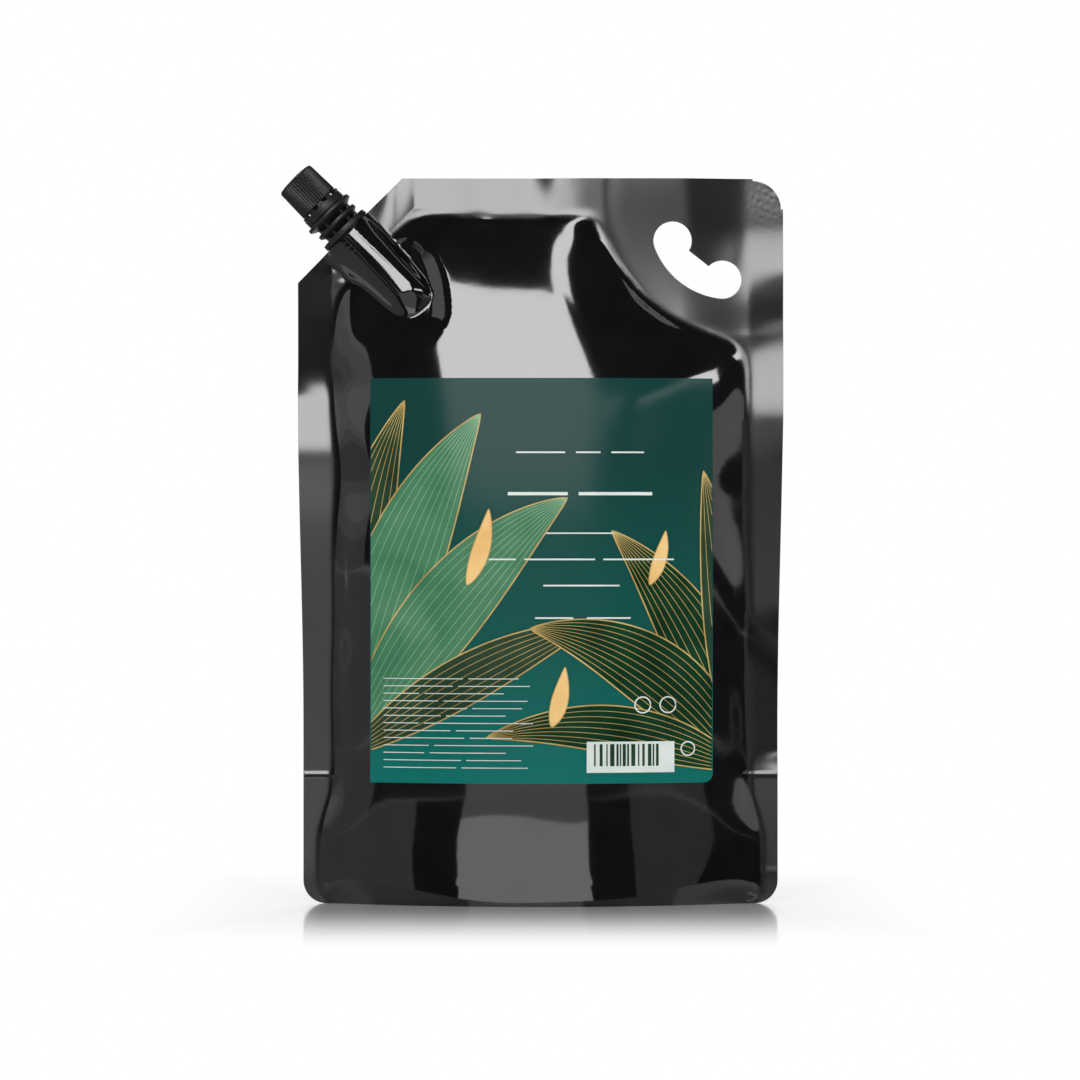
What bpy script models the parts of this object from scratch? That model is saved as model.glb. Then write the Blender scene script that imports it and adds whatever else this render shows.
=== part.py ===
"""Stand-up refill pouch with a corner screw spout, a carry hole and a front label.

The front faces -Y, +X is to the right and +Z is up. The origin is on the ground,
in the middle of the base. Lengths are in metres.
"""

import math

import bpy
import numpy as np
from mathutils import Matrix, Vector

MM = 0.001

# Flat outline of the pouch
POUCH_WIDTH = 180.0 * MM
POUCH_HEIGHT = 268.5 * MM
BASE_WIDTH = 175.6 * MM
TOP_CORNER_RADIUS = 10.5 * MM
BASE_CORNER_RADIUS = 8.5 * MM
CORNER_CUT = 38.7 * MM
FILM = 0.2 * MM
DRAW_TOP_SHARE = 0.75
DRAW_FOOT_SHARE = 0.25

# Welded seams
SIDE_SEAM = 12.5 * MM
TOP_SEAM = 12.5 * MM
CORNER_SEAL_RADIUS = 52.0 * MM
CORNER_SEAL_INSET = 15.0 * MM
CORNER_SEAL_DROP = 6.5 * MM
LOW_SEAM = 5.5 * MM

# Filled shape, as depths in front of and behind the seam plane
BELLY = 26.2 * MM
HEAD_DROP = 11.0 * MM
SHOULDER = 64.0 * MM
BASE_HALF_DEPTH = 23.8 * MM
FOOT_BLEND = 40.0 * MM
BASE_SEAM = 10.8 * MM
FILL_LEVEL = 205.0 * MM
AIR_SHARE = 0.3
FLAT_SHARE = 0.55
FLAT_FROM = 60.0 * MM
FLAT_TO = 150.0 * MM
FOLD_HEIGHT = 47.8 * MM
SKIRT_HEIGHT = 8.7 * MM
SKIRT_WALL = 0.7 * MM
REST_HALF_LENGTH = 36.0 * MM
REST_SHARE = 0.6
TUCK_STOP = 3.0 * MM

# Carry hole, two round ends joined by a bowed slot
HANDLE_INSET = 31.85 * MM
HANDLE_DROP = 30.3 * MM
HANDLE_TILT = math.radians(-37.9)
HANDLE_SPAN = 23.4 * MM
HANDLE_END_RADIUS = 7.1 * MM
HANDLE_BOW = 10.4 * MM
HANDLE_LIP = 0.8 * MM

# Front label
LABEL_LEFT = -62.8 * MM
LABEL_RIGHT = 63.5 * MM
LABEL_BOTTOM = 45.2 * MM
LABEL_TOP = 194.1 * MM
LABEL_FILM = 0.15 * MM

# Spout, measured along its axis from the cut corner's edge, outwards
SPOUT_TILT = math.radians(-45.0)
SPOUT_SHIFT = -1.0 * MM
BORE = 8.6 * MM
NECK = 10.7 * MM
LOW_FLANGE = 20.4 * MM
LOW_FLANGE_THICK = 1.9 * MM
MID_FLANGE = 18.1 * MM
MID_FLANGE_AT = 4.9 * MM
TOP_FLANGE = 20.2 * MM
TOP_FLANGE_AT = 9.1 * MM
FLANGE_THICK = 1.3 * MM
FIN_COUNT = 6
FIN_REACH = 15.0 * MM
FIN_THICK = 1.2 * MM
BEAD = 13.2 * MM
BEAD_RISE = 1.8 * MM
BEAD_HEIGHT = 1.2 * MM
MOUTH_AT = 25.4 * MM
MOUTH_CHAMFER = 0.5 * MM
BOAT_LENGTH = 23.0 * MM
BOAT_THICK = 14.0 * MM
BOAT_HEAD_THICK = 10.8 * MM
BOAT_DEPTH = 12.0 * MM
BOAT_FULLNESS = 1.7
BOAT_TOP_LENGTH = 17.4 * MM
BOAT_RIBS = 4
BOAT_RIB_HEIGHT = 0.35 * MM
SLEEVE_TAIL = 25.2 * MM
SLEEVE_TAIL_LENGTH = 9.0 * MM

# Closure
BAND_WIDTH = 17.4 * MM
BAND_BORE = 14.0 * MM
BAND_HEIGHT = 3.0 * MM
BAND_LIP_BORE = 11.5 * MM
BAND_LIP = 0.7 * MM
BAND_TEETH = 12
BAND_TOOTH = 1.1 * MM
BAND_TOOTH_SHARE = 0.5
BAND_TOOTH_INSET = 0.2 * MM
CAP_BASE_WIDTH = 16.0 * MM
CAP_TOP_WIDTH = 15.4 * MM
CAP_HEIGHT = 13.3 * MM
CAP_BORE = 12.6 * MM
CAP_TOP_WALL = 1.3 * MM
CAP_HEM = 0.5 * MM
CAP_RIBS = 48
CAP_RIB_DEPTH = 0.35 * MM
CAP_ROUNDING = 1.1 * MM
CAP_DOME = 0.5 * MM
SEAL_THICK = 1.0 * MM

# Fits
CLEARANCE = 0.3 * MM
WELD_GAP = 0.3 * MM
OVERSHOOT = 3.0 * MM

# Mesh fineness
CELL = 8.0 * MM
SOLVER_CELL = 2.0 * MM
SOLVER_SWEEPS = 400
SOLVER_RELAXATION_SHARE = 1.94
SEAM_ROWS = 4
ROUND_STEPS = 48
BOAT_STEPS = 10
GUSSET_STEPS = 5
CORNER_STEPS = 4
HANDLE_END_STEPS = 12
HANDLE_BOW_STEPS = 10


def smooth(t):
    """Ease from 0 to 1, flat at both ends."""
    t = min(max(t, 0.0), 1.0)
    return t * t * (3.0 - 2.0 * t)


# Outline of the pouch


def side_x(z):
    """Half width of the pouch: the filled lower part draws the sides in."""
    drawn = smooth((DRAW_TOP_SHARE - z / POUCH_HEIGHT) / (DRAW_TOP_SHARE - DRAW_FOOT_SHARE))
    return 0.5 * (POUCH_WIDTH + (BASE_WIDTH - POUCH_WIDTH) * drawn)


def rounding(z, radius, level):
    """How far a corner's arc stands in from the side at height z, level being the arc's top or foot."""
    rise = abs(z - level)
    if rise >= radius:
        return 0.0
    return radius - math.sqrt(radius ** 2 - (radius - rise) ** 2)


def edges_at(z):
    """Left and right ends of the film at height z, before the spout's corner is cut off."""
    left = side_x(z) - rounding(z, BASE_CORNER_RADIUS, 0.0)
    right = left - rounding(z, TOP_CORNER_RADIUS, POUCH_HEIGHT)
    return -left, right


# Filled shape of the panels


def beyond_cut(x, z):
    """Distance inwards from the cut corner's edge."""
    return ((x + 0.5 * POUCH_WIDTH) + (POUCH_HEIGHT - z) - CORNER_CUT) / math.sqrt(2.0)


def base_half_length():
    """Half length of the open base, between the welded bottom corners."""
    return 0.5 * BASE_WIDTH - BASE_SEAM


def seam_x(z):
    """Half width of the space between the side seams, which opens below the gusset's fold."""
    upper = 0.5 * POUCH_WIDTH - SIDE_SEAM
    lower = 0.5 * BASE_WIDTH - LOW_SEAM
    return upper + (lower - upper) * smooth((FOLD_HEIGHT - z) / (0.5 * FOLD_HEIGHT))


def is_open(x, z):
    """Whether the panels are apart here, not welded together."""
    corner_x = 0.5 * POUCH_WIDTH - CORNER_SEAL_INSET
    corner_z = POUCH_HEIGHT - CORNER_SEAL_DROP
    in_corner = math.hypot(x - corner_x, z - corner_z) < CORNER_SEAL_RADIUS
    welded = in_corner or z > POUCH_HEIGHT - TOP_SEAM or abs(x) > seam_x(z)
    return not welded and beyond_cut(x, z) > BOAT_DEPTH


def relaxed(depth, free, load):
    """Membrane depths by over-relaxation, red cells and then black cells each pass."""
    rows, columns = np.indices(depth.shape)
    for sweep in range(SOLVER_SWEEPS):
        for colour in (0, 1):
            around = np.zeros_like(depth)
            around[1:-1, 1:-1] = depth[2:, 1:-1] + depth[:-2, 1:-1]
            around[1:-1, 1:-1] += depth[1:-1, 2:] + depth[1:-1, :-2]
            cells = free & ((rows + columns) % 2 == colour)
            depth[cells] += SOLVER_RELAXATION_SHARE * (0.25 * (around + load)[cells] - depth[cells])
    return depth


def crest_depth(z):
    """Greatest depth of the row at height z: a round shoulder below the top seam, and a drawn-in foot."""
    head = POUCH_HEIGHT - HEAD_DROP
    depth = BELLY * (1.0 - math.exp(-max(head - z, 0.0) / SHOULDER))
    at_foot = BELLY * (1.0 - math.exp(-head / SHOULDER))
    return depth - (at_foot - BASE_HALF_DEPTH) * smooth(1.0 - z / FOOT_BLEND)


def solve_panel():
    """Depth of a panel on a regular grid.

    The film bulges as a membrane under the liquid's weight. Each row is then brought to
    its crest's depth, and the upper rows are flattened, because film is stiffer than a membrane.
    """
    xs = np.arange(-0.5 * POUCH_WIDTH, 0.5 * POUCH_WIDTH + SOLVER_CELL, SOLVER_CELL)
    zs = np.arange(0.0, POUCH_HEIGHT + SOLVER_CELL, SOLVER_CELL)
    free = np.array([[is_open(x, z) for x in xs] for z in zs])
    free[0] = False
    free[-1] = False
    free[:, 0] = False
    free[:, -1] = False
    foot = np.zeros(free.shape)
    foot[0] = BASE_HALF_DEPTH * np.clip(1.0 - (xs / base_half_length()) ** 2, 0.0, None)
    foot = relaxed(foot, free, np.zeros(free.shape))
    load = AIR_SHARE + np.clip((FILL_LEVEL - zs) / FILL_LEVEL, 0.0, None)
    bulge = relaxed(np.zeros(free.shape), free, load[:, None] * np.ones(free.shape))
    swelling = foot + BELLY / bulge.max() * bulge
    shaped = int(free.any(axis=1).nonzero()[0].max()) - SEAM_ROWS
    shares = [crest_depth(z) / row.max() for z, row in zip(zs[:shaped], swelling)]
    shares += [shares[-1]] * (len(zs) - shaped)
    for z, row, share in zip(zs, swelling, shares):
        row *= share
        crest = max(row.max(), FILM)
        power = 1.0 + FLAT_SHARE * smooth((z - FLAT_FROM) / (FLAT_TO - FLAT_FROM))
        row[:] = crest * (1.0 - np.clip(1.0 - row / crest, 0.0, None) ** power)
    return xs, zs, swelling


PANEL_XS, PANEL_ZS, PANEL_DEPTHS = solve_panel()


def panel_depth(x, z):
    """Distance of a panel's outer face from the seam plane."""
    i = min(max((x - PANEL_XS[0]) / SOLVER_CELL, 0.0), len(PANEL_XS) - 1.001)
    j = min(max((z - PANEL_ZS[0]) / SOLVER_CELL, 0.0), len(PANEL_ZS) - 1.001)
    i0, j0 = int(i), int(j)
    u, v = i - i0, j - j0
    low = PANEL_DEPTHS[j0, i0] * (1.0 - u) + PANEL_DEPTHS[j0, i0 + 1] * u
    high = PANEL_DEPTHS[j0 + 1, i0] * (1.0 - u) + PANEL_DEPTHS[j0 + 1, i0 + 1] * u
    return FILM + low * (1.0 - v) + high * v


# Mesh helpers


def stations(stops, step):
    """The given stops, with even steps filled in between them."""
    stops = sorted(stops)
    filled = [stops[0]]
    for start, end in zip(stops, stops[1:]):
        count = max(1, math.ceil((end - start) / step - 0.01))
        filled += [start + (end - start) * k / count for k in range(1, count + 1)]
    return filled


def make_object(name, vertices, faces, smooth_angle=None):
    """A named mesh object, shaded smooth up to the given angle."""
    mesh = bpy.data.meshes.new(name)
    mesh.from_pydata([tuple(v) for v in vertices], [], faces)
    mesh.validate()
    if smooth_angle:
        mesh.shade_smooth()
        mesh.set_sharp_from_angle(angle=math.radians(smooth_angle))
    made = bpy.data.objects.new(name, mesh)
    bpy.context.collection.objects.link(made)
    return made


def loft(rings, closed_ends=True):
    """Vertices and faces of a skin over rings of equal count, each turning anticlockwise about +Z."""
    count = len(rings[0])
    vertices = [point for ring in rings for point in ring]
    faces = []
    for r in range(len(rings) - 1):
        for k in range(count):
            a = r * count + k
            b = r * count + (k + 1) % count
            faces.append((a, b, b + count, a + count))
    if closed_ends:
        faces.append(tuple(reversed(range(count))))
        faces.append(tuple(range(len(vertices) - count, len(vertices))))
    return vertices, faces


def circle(radius, at, steps=ROUND_STEPS):
    """A ring of points about the local Z axis."""
    angles = [2.0 * math.pi * k / steps for k in range(steps)]
    return [(radius * math.cos(a), radius * math.sin(a), at) for a in angles]


def toothed(radius, tip, count, share, at):
    """A ring with square teeth: each takes its share of the pitch."""
    ring = []
    for tooth in range(count):
        for turn, r in ((0.0, radius), (0.0, tip), (share, tip), (share, radius)):
            angle = 2.0 * math.pi * (tooth + turn - 0.5 * share) / count
            ring.append((r * math.cos(angle), r * math.sin(angle), at))
    return ring


def turned(name, profile, smooth_angle=40.0):
    """A solid of revolution: profile is a closed loop of (radius, height), anticlockwise in that plane."""
    vertices, faces = loft([circle(r, at) for r, at in profile], closed_ends=False)
    last = len(vertices) - ROUND_STEPS
    for k in range(ROUND_STEPS):
        following = (k + 1) % ROUND_STEPS
        faces.append((last + k, last + following, following, k))
    return make_object(name, vertices, faces, smooth_angle)


def boolean(target, other, operation):
    """Join or cut the target with another solid, which then stays as a hidden guide."""
    modifier = target.modifiers.new(operation.lower() + "_" + other.name, "BOOLEAN")
    modifier.operation = operation
    modifier.object = other
    modifier.solver = "EXACT"
    other.hide_render = True
    other.display_type = "WIRE"


def paint(target, color, roughness, coat=0.0):
    """Give a sub-part its own material."""
    material = bpy.data.materials.new(target.name)
    material.use_nodes = True
    shader = material.node_tree.nodes["Principled BSDF"]
    shader.inputs["Base Color"].default_value = (*color, 1.0)
    shader.inputs["Roughness"].default_value = roughness
    shader.inputs["Metallic"].default_value = 0.0
    shader.inputs["Coat Weight"].default_value = coat
    target.data.materials.append(material)


# Pouch


def panel_columns(z):
    """Columns of one row between the side seams, with the label's sides among them."""
    seam = side_x(z) - SIDE_SEAM
    steps = math.ceil((0.5 * POUCH_WIDTH - SIDE_SEAM - min(-LABEL_LEFT, LABEL_RIGHT)) / CELL)
    left = [-seam + (seam + LABEL_LEFT) * k / steps for k in range(steps)]
    right = [LABEL_RIGHT + (seam - LABEL_RIGHT) * k / steps for k in range(1, steps + 1)]
    return left + stations([LABEL_LEFT, LABEL_RIGHT], CELL) + right


def panel_rows():
    """Heights of the rows, with both corners' arcs, the skirt and the label's ends among them."""
    quarter = [0.5 * math.pi * k / CORNER_STEPS for k in range(CORNER_STEPS + 1)]
    foot = [BASE_CORNER_RADIUS * (1.0 - math.cos(a)) for a in quarter]
    head = [POUCH_HEIGHT - TOP_CORNER_RADIUS * (1.0 - math.cos(a)) for a in quarter]
    marks = [LABEL_BOTTOM, LABEL_TOP, POUCH_HEIGHT - TOP_SEAM]
    return stations(foot + head + marks, CELL)


def row_points(z, side):
    """Points of one row on the front (side -1) or back (side 1) panel."""
    left, right = edges_at(z)
    columns = panel_columns(z)
    xs = [left, 0.5 * (left + columns[0])] + columns + [0.5 * (right + columns[-1]), right]
    return [Vector((x, side * panel_depth(x, z), z)) for x in xs]


def grid_faces(rows, columns, start, flip):
    """Triangles over a grid of points, all cut along the same diagonal."""
    faces = []
    for j in range(rows - 1):
        for i in range(columns - 1):
            a = start + j * columns + i
            b, c, d = a + 1, a + columns + 1, a + columns
            pair = [(a, b, c), (a, c, d)]
            faces += [tuple(reversed(f)) for f in pair] if flip else pair
    return faces


def rim_faces(rows, columns):
    """Walls that join the front grid's border to the back grid's."""
    back = rows * columns
    faces = []
    for j in range(rows - 1):
        a, b = j * columns, (j + 1) * columns
        faces.append((a, b, b + back, a + back))
        a, b = a + columns - 1, b + columns - 1
        faces.append((a, a + back, b + back, b))
    top = (rows - 1) * columns
    for i in range(columns - 1):
        faces.append((i, i + back, i + 1 + back, i + 1))
        faces.append((top + i, top + i + 1, top + i + 1 + back, top + i + back))
    return faces


def sheet_solid(name, front, back, smooth_angle):
    """A closed body between a front and a back grid of points."""
    rows, columns = len(front), len(front[0])
    vertices = [p for row in front for p in row] + [p for row in back for p in row]
    faces = grid_faces(rows, columns, 0, False)
    faces += grid_faces(rows, columns, rows * columns, True)
    faces += rim_faces(rows, columns)
    return make_object(name, vertices, faces, smooth_angle)


def handle_outline():
    """Carry hole's outline: two round ends, a bow below and a straight lip above."""
    half = 0.5 * HANDLE_SPAN
    spare = HANDLE_BOW - HANDLE_END_RADIUS
    bow_centre = (half ** 2 - spare ** 2) / (2.0 * spare)
    bow_radius = bow_centre + HANDLE_BOW
    lip = math.asin(HANDLE_LIP / HANDLE_END_RADIUS)
    meet = math.atan2(bow_centre, half)
    arcs = [
        (-half, 0.0, HANDLE_END_RADIUS, lip, math.pi + meet, HANDLE_END_STEPS),
        (0.0, bow_centre, bow_radius, math.pi + meet, 2.0 * math.pi - meet, HANDLE_BOW_STEPS),
        (half, 0.0, HANDLE_END_RADIUS, -meet, math.pi - lip, HANDLE_END_STEPS),
    ]
    points = []
    for u, v, radius, start, end, count in arcs:
        for k in range(count):
            angle = start + (end - start) * k / (count - 1)
            points.append((u + radius * math.cos(angle), v + radius * math.sin(angle)))
    turn = Matrix.Rotation(HANDLE_TILT, 2)
    centre = Vector((0.5 * POUCH_WIDTH - HANDLE_INSET, POUCH_HEIGHT - HANDLE_DROP))
    placed = []
    for u, v in points:
        spot = turn @ Vector((u, v))
        place = (centre.x + spot.x, centre.y + spot.y)
        if not placed or math.dist(placed[-1], place) > 0.01 * MM:
            placed.append(place)
    return placed


def handle_cutter():
    """Punch for the carry hole."""
    outline = handle_outline()
    reach = 4.0 * CLEARANCE + FILM
    rings = [[(x, y, z) for x, z in outline] for y in (reach, -reach)]
    vertices, faces = loft(rings)
    return make_object("carry_hole_cutter", vertices, faces)


def corner_cutter(frame):
    """Block outside the cut corner's edge, in the spout's frame."""
    half = CORNER_CUT
    square = [(-half, -half), (half, -half), (half, half), (-half, half)]
    rings = [[(x, y, at) for x, y in square] for at in (0.0, 2.0 * half)]
    vertices, faces = loft(rings)
    cutter = make_object("corner_cutter", vertices, faces)
    cutter.parent = frame
    return cutter


def boat_ring(half_length, half_thick, at):
    """Boat-shaped section: thick in the middle, drawn to a point at both ends."""
    xs = [half_length * math.cos(math.pi * k / BOAT_STEPS) for k in range(BOAT_STEPS + 1)]
    upper = [(x, half_thick * (1.0 - abs(x / half_length) ** BOAT_FULLNESS), at) for x in xs]
    lower = [(x, -y, at) for x, y, at in reversed(upper[1:-1])]
    return upper + lower


def boat_half_thick(at):
    """Half thickness of the boat, which tapers towards the flanges."""
    share = min(-at / BOAT_DEPTH, 1.0)
    return 0.5 * (BOAT_HEAD_THICK + (BOAT_THICK - BOAT_HEAD_THICK) * share)


def film_sleeve(frame):
    """Film drawn over the spout's boat, fading into the panels as a tapering ridge."""
    grow = CLEARANCE + 2.0 * FILM
    half_length = 0.5 * BOAT_LENGTH + grow
    half_thick = 0.5 * BOAT_THICK + grow
    rings = []
    for share in (1.0, 0.8, 0.6, 0.4, 0.2, 0.0):
        at = -BOAT_DEPTH - grow - share * SLEEVE_TAIL
        spot = frame.matrix_world @ Vector((0.0, 0.0, at))
        buried = max(panel_depth(spot.x, spot.z) - 4.0 * FILM, FILM)
        thick = half_thick + (buried - half_thick) * smooth(share)
        length = half_length + (0.5 * SLEEVE_TAIL_LENGTH - half_length) * share
        rings.append(boat_ring(length, thick, at))
    rings.append(boat_ring(half_length, boat_half_thick(OVERSHOOT) + grow, OVERSHOOT))
    vertices, faces = loft(rings)
    sleeve = make_object("film_sleeve_guide", vertices, faces)
    sleeve.parent = frame
    return sleeve


def pocket_cutter(frame):
    """Space that the boat fills inside the film."""
    half_length = 0.5 * BOAT_LENGTH + CLEARANCE
    rings = []
    for at in (-BOAT_DEPTH - CLEARANCE, OVERSHOOT):
        rings.append(boat_ring(half_length, boat_half_thick(at) + CLEARANCE, at))
    vertices, faces = loft(rings)
    cutter = make_object("boat_pocket_cutter", vertices, faces)
    cutter.parent = frame
    return cutter


def tuck_end():
    """Half length of the space under the gusset."""
    return base_half_length() - TUCK_STOP


def tuck_height(x, share):
    """Underside of the gusset: a flat rest in the middle, tucked up to the fold at both ends."""
    tucked = smooth((abs(x) - REST_HALF_LENGTH) / (tuck_end() - REST_HALF_LENGTH))
    rest_rise = SKIRT_HEIGHT * smooth((abs(share) - REST_SHARE) / (1.0 - REST_SHARE))
    middle = rest_rise - 2.0 * CLEARANCE * (1.0 - abs(share))
    peak = FOLD_HEIGHT - 2.0 * CLEARANCE
    folded = SKIRT_HEIGHT + (peak - SKIRT_HEIGHT) * (1.0 - abs(share))
    return middle + (folded - middle) * tucked


def gusset_cutter():
    """Space under the gusset, inside the standing skirt."""
    end = tuck_end()
    columns = [-end] + [x for x in panel_columns(0.0) if abs(x) < end] + [end]
    shares = [k / GUSSET_STEPS for k in range(GUSSET_STEPS, -GUSSET_STEPS - 1, -1)]
    rings = []
    for x in columns:
        foot = panel_depth(x, 0.0) - SKIRT_WALL
        shoulder = panel_depth(x, SKIRT_HEIGHT) - SKIRT_WALL
        ring = [(x, -foot, -OVERSHOOT), (x, foot, -OVERSHOOT)]
        rings.append(ring + [(x, share * shoulder, tuck_height(x, share)) for share in shares])
    vertices, faces = loft(rings)
    return make_object("gusset_cutter", vertices, faces)


def build_pouch(frame):
    """Filled film pack: panels, gusset, welded seams, carry hole and the boat's pocket."""
    rows = panel_rows()
    front = [row_points(z, -1.0) for z in rows]
    back = [row_points(z, 1.0) for z in rows]
    pouch = sheet_solid("pouch", front, back, 35.0)
    boolean(pouch, gusset_cutter(), "DIFFERENCE")
    boolean(pouch, handle_cutter(), "DIFFERENCE")
    boolean(pouch, film_sleeve(frame), "UNION")
    boolean(pouch, corner_cutter(frame), "DIFFERENCE")
    boolean(pouch, pocket_cutter(frame), "DIFFERENCE")
    paint(pouch, (0.012, 0.011, 0.014), 0.12, 0.6)
    return pouch


def build_label():
    """Printed film on the front panel, following the panel's facets at a small gap."""
    columns = stations([LABEL_LEFT, LABEL_RIGHT], CELL)
    rows = [z for z in panel_rows() if LABEL_BOTTOM - MM < z < LABEL_TOP + MM]
    inner = [[Vector((x, -panel_depth(x, z) - CLEARANCE, z)) for x in columns] for z in rows]
    outer = [[p - Vector((0.0, LABEL_FILM, 0.0)) for p in row] for row in inner]
    label = sheet_solid("label", outer, inner, 35.0)
    paint(label, (0.012, 0.075, 0.06), 0.18, 0.5)
    return label


# Spout and closure


def spout_frame():
    """Empty at the foot of the spout's axis, its Z along the axis, outwards."""
    frame = bpy.data.objects.new("spout_axis", None)
    bpy.context.collection.objects.link(frame)
    along = SPOUT_SHIFT / math.sqrt(2.0)
    x = -0.5 * POUCH_WIDTH + 0.5 * CORNER_CUT + along
    z = POUCH_HEIGHT - 0.5 * CORNER_CUT + along
    frame.location = (x, 0.0, z)
    frame.rotation_euler = (0.0, SPOUT_TILT, 0.0)
    bpy.context.view_layer.update()
    return frame


def spout_boat(frame):
    """Weld base with ribs along the film's edge."""
    pitch = BOAT_DEPTH / BOAT_RIBS
    rings = []
    for k in range(BOAT_RIBS):
        foot = -BOAT_DEPTH + k * pitch
        for share, proud in ((0.0, False), (0.45, False), (0.55, True), (0.95, True)):
            at = foot + share * pitch
            inset = 0.0 if proud else BOAT_RIB_HEIGHT
            rings.append(boat_ring(0.5 * BOAT_LENGTH - inset, boat_half_thick(at) - inset, at))
    top = WELD_GAP + 0.5 * LOW_FLANGE_THICK
    rings.append(boat_ring(0.5 * BOAT_TOP_LENGTH, 0.5 * BOAT_HEAD_THICK - BOAT_RIB_HEIGHT, top))
    vertices, faces = loft(rings)
    boat = make_object("boat_guide", vertices, faces)
    boat.parent = frame
    return boat


def spout_fins(frame):
    """Upright fins between the flanges."""
    share = FIN_THICK * FIN_COUNT / (math.pi * FIN_REACH)
    low = WELD_GAP + 0.5 * LOW_FLANGE_THICK
    high = TOP_FLANGE_AT + 0.5 * FLANGE_THICK
    core = 0.25 * (NECK + BORE)
    rings = [toothed(core, 0.5 * FIN_REACH, FIN_COUNT, share, at) for at in (low, high)]
    vertices, faces = loft(rings)
    fins = make_object("fins_guide", vertices, faces)
    fins.parent = frame
    return fins


def spout_bore_cutter(frame):
    """Bore from the boat's foot to the mouth."""
    rings = [circle(0.5 * BORE, at) for at in (-BOAT_DEPTH - OVERSHOOT, MOUTH_AT + OVERSHOOT)]
    vertices, faces = loft(rings)
    cutter = make_object("bore_cutter", vertices, faces)
    cutter.parent = frame
    return cutter


def build_spout(frame):
    """Spout moulding: boat, three flanges, fins, neck, bead and mouth."""
    neck = 0.5 * NECK
    inner = 0.5 * BORE - CLEARANCE
    bead_at = TOP_FLANGE_AT + FLANGE_THICK + BEAD_RISE
    low_top = WELD_GAP + LOW_FLANGE_THICK
    profile = [(inner, WELD_GAP), (0.5 * LOW_FLANGE, WELD_GAP), (0.5 * LOW_FLANGE, low_top), (neck, low_top)]
    for width, at in ((MID_FLANGE, MID_FLANGE_AT), (TOP_FLANGE, TOP_FLANGE_AT)):
        rim = 0.5 * width
        profile += [(neck, at), (rim, at), (rim, at + FLANGE_THICK), (neck, at + FLANGE_THICK)]
    profile += [(neck, bead_at), (0.5 * BEAD, bead_at), (neck, bead_at + BEAD_HEIGHT)]
    profile += [(neck, MOUTH_AT - MOUTH_CHAMFER), (neck - MOUTH_CHAMFER, MOUTH_AT), (inner, MOUTH_AT)]
    spout = turned("spout", profile)
    spout.parent = frame
    boolean(spout, spout_fins(frame), "UNION")
    boolean(spout, spout_boat(frame), "UNION")
    boolean(spout, spout_bore_cutter(frame), "DIFFERENCE")
    paint(spout, (0.014, 0.014, 0.016), 0.35)
    return spout


def band_foot():
    """Height of the tamper band's foot on the spout's axis."""
    return TOP_FLANGE_AT + FLANGE_THICK + CLEARANCE


def cap_foot():
    """Height of the cap's open rim on the spout's axis."""
    return band_foot() + BAND_HEIGHT + BAND_TOOTH + CLEARANCE


def band_teeth(frame):
    """Teeth on the band's upper edge, where it tears off the cap."""
    inner = 0.5 * BAND_BORE + BAND_TOOTH_INSET
    outer = 0.5 * BAND_WIDTH - BAND_TOOTH_INSET
    low = band_foot() + 0.5 * BAND_HEIGHT
    high = band_foot() + BAND_HEIGHT + BAND_TOOTH
    spread = BAND_TOOTH_SHARE * math.pi / BAND_TEETH
    plan = [(inner, -spread), (outer, -spread), (outer, spread), (inner, spread)]
    vertices = []
    faces = []
    for tooth in range(BAND_TEETH):
        middle = 2.0 * math.pi * tooth / BAND_TEETH
        rings = []
        for at in (low, high):
            rings.append([(r * math.cos(middle + a), r * math.sin(middle + a), at) for r, a in plan])
        block, sides = loft(rings)
        faces += [tuple(len(vertices) + k for k in side) for side in sides]
        vertices += block
    teeth = make_object("band_teeth_guide", vertices, faces)
    teeth.parent = frame
    return teeth


def build_band(frame):
    """Tamper band: a ring that the bead holds on the neck."""
    foot = band_foot()
    lip = 0.5 * BAND_LIP_BORE
    outer = 0.5 * BAND_WIDTH
    bore = 0.5 * BAND_BORE
    profile = [(lip, foot), (outer, foot), (outer, foot + BAND_HEIGHT), (bore, foot + BAND_HEIGHT)]
    profile += [(bore, foot + BAND_LIP + CLEARANCE), (lip, foot + BAND_LIP)]
    band = turned("tamper_band", profile)
    band.parent = frame
    boolean(band, band_teeth(frame), "UNION")
    paint(band, (0.013, 0.013, 0.015), 0.4)
    return band


def cap_ring(radius, depth, at):
    """Ring of the cap's outside, with a shallow groove between each two ribs."""
    ring = []
    for k in range(2 * CAP_RIBS):
        r = radius - (depth if k % 2 else 0.0)
        angle = math.pi * k / CAP_RIBS
        ring.append((r * math.cos(angle), r * math.sin(angle), at))
    return ring


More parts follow.
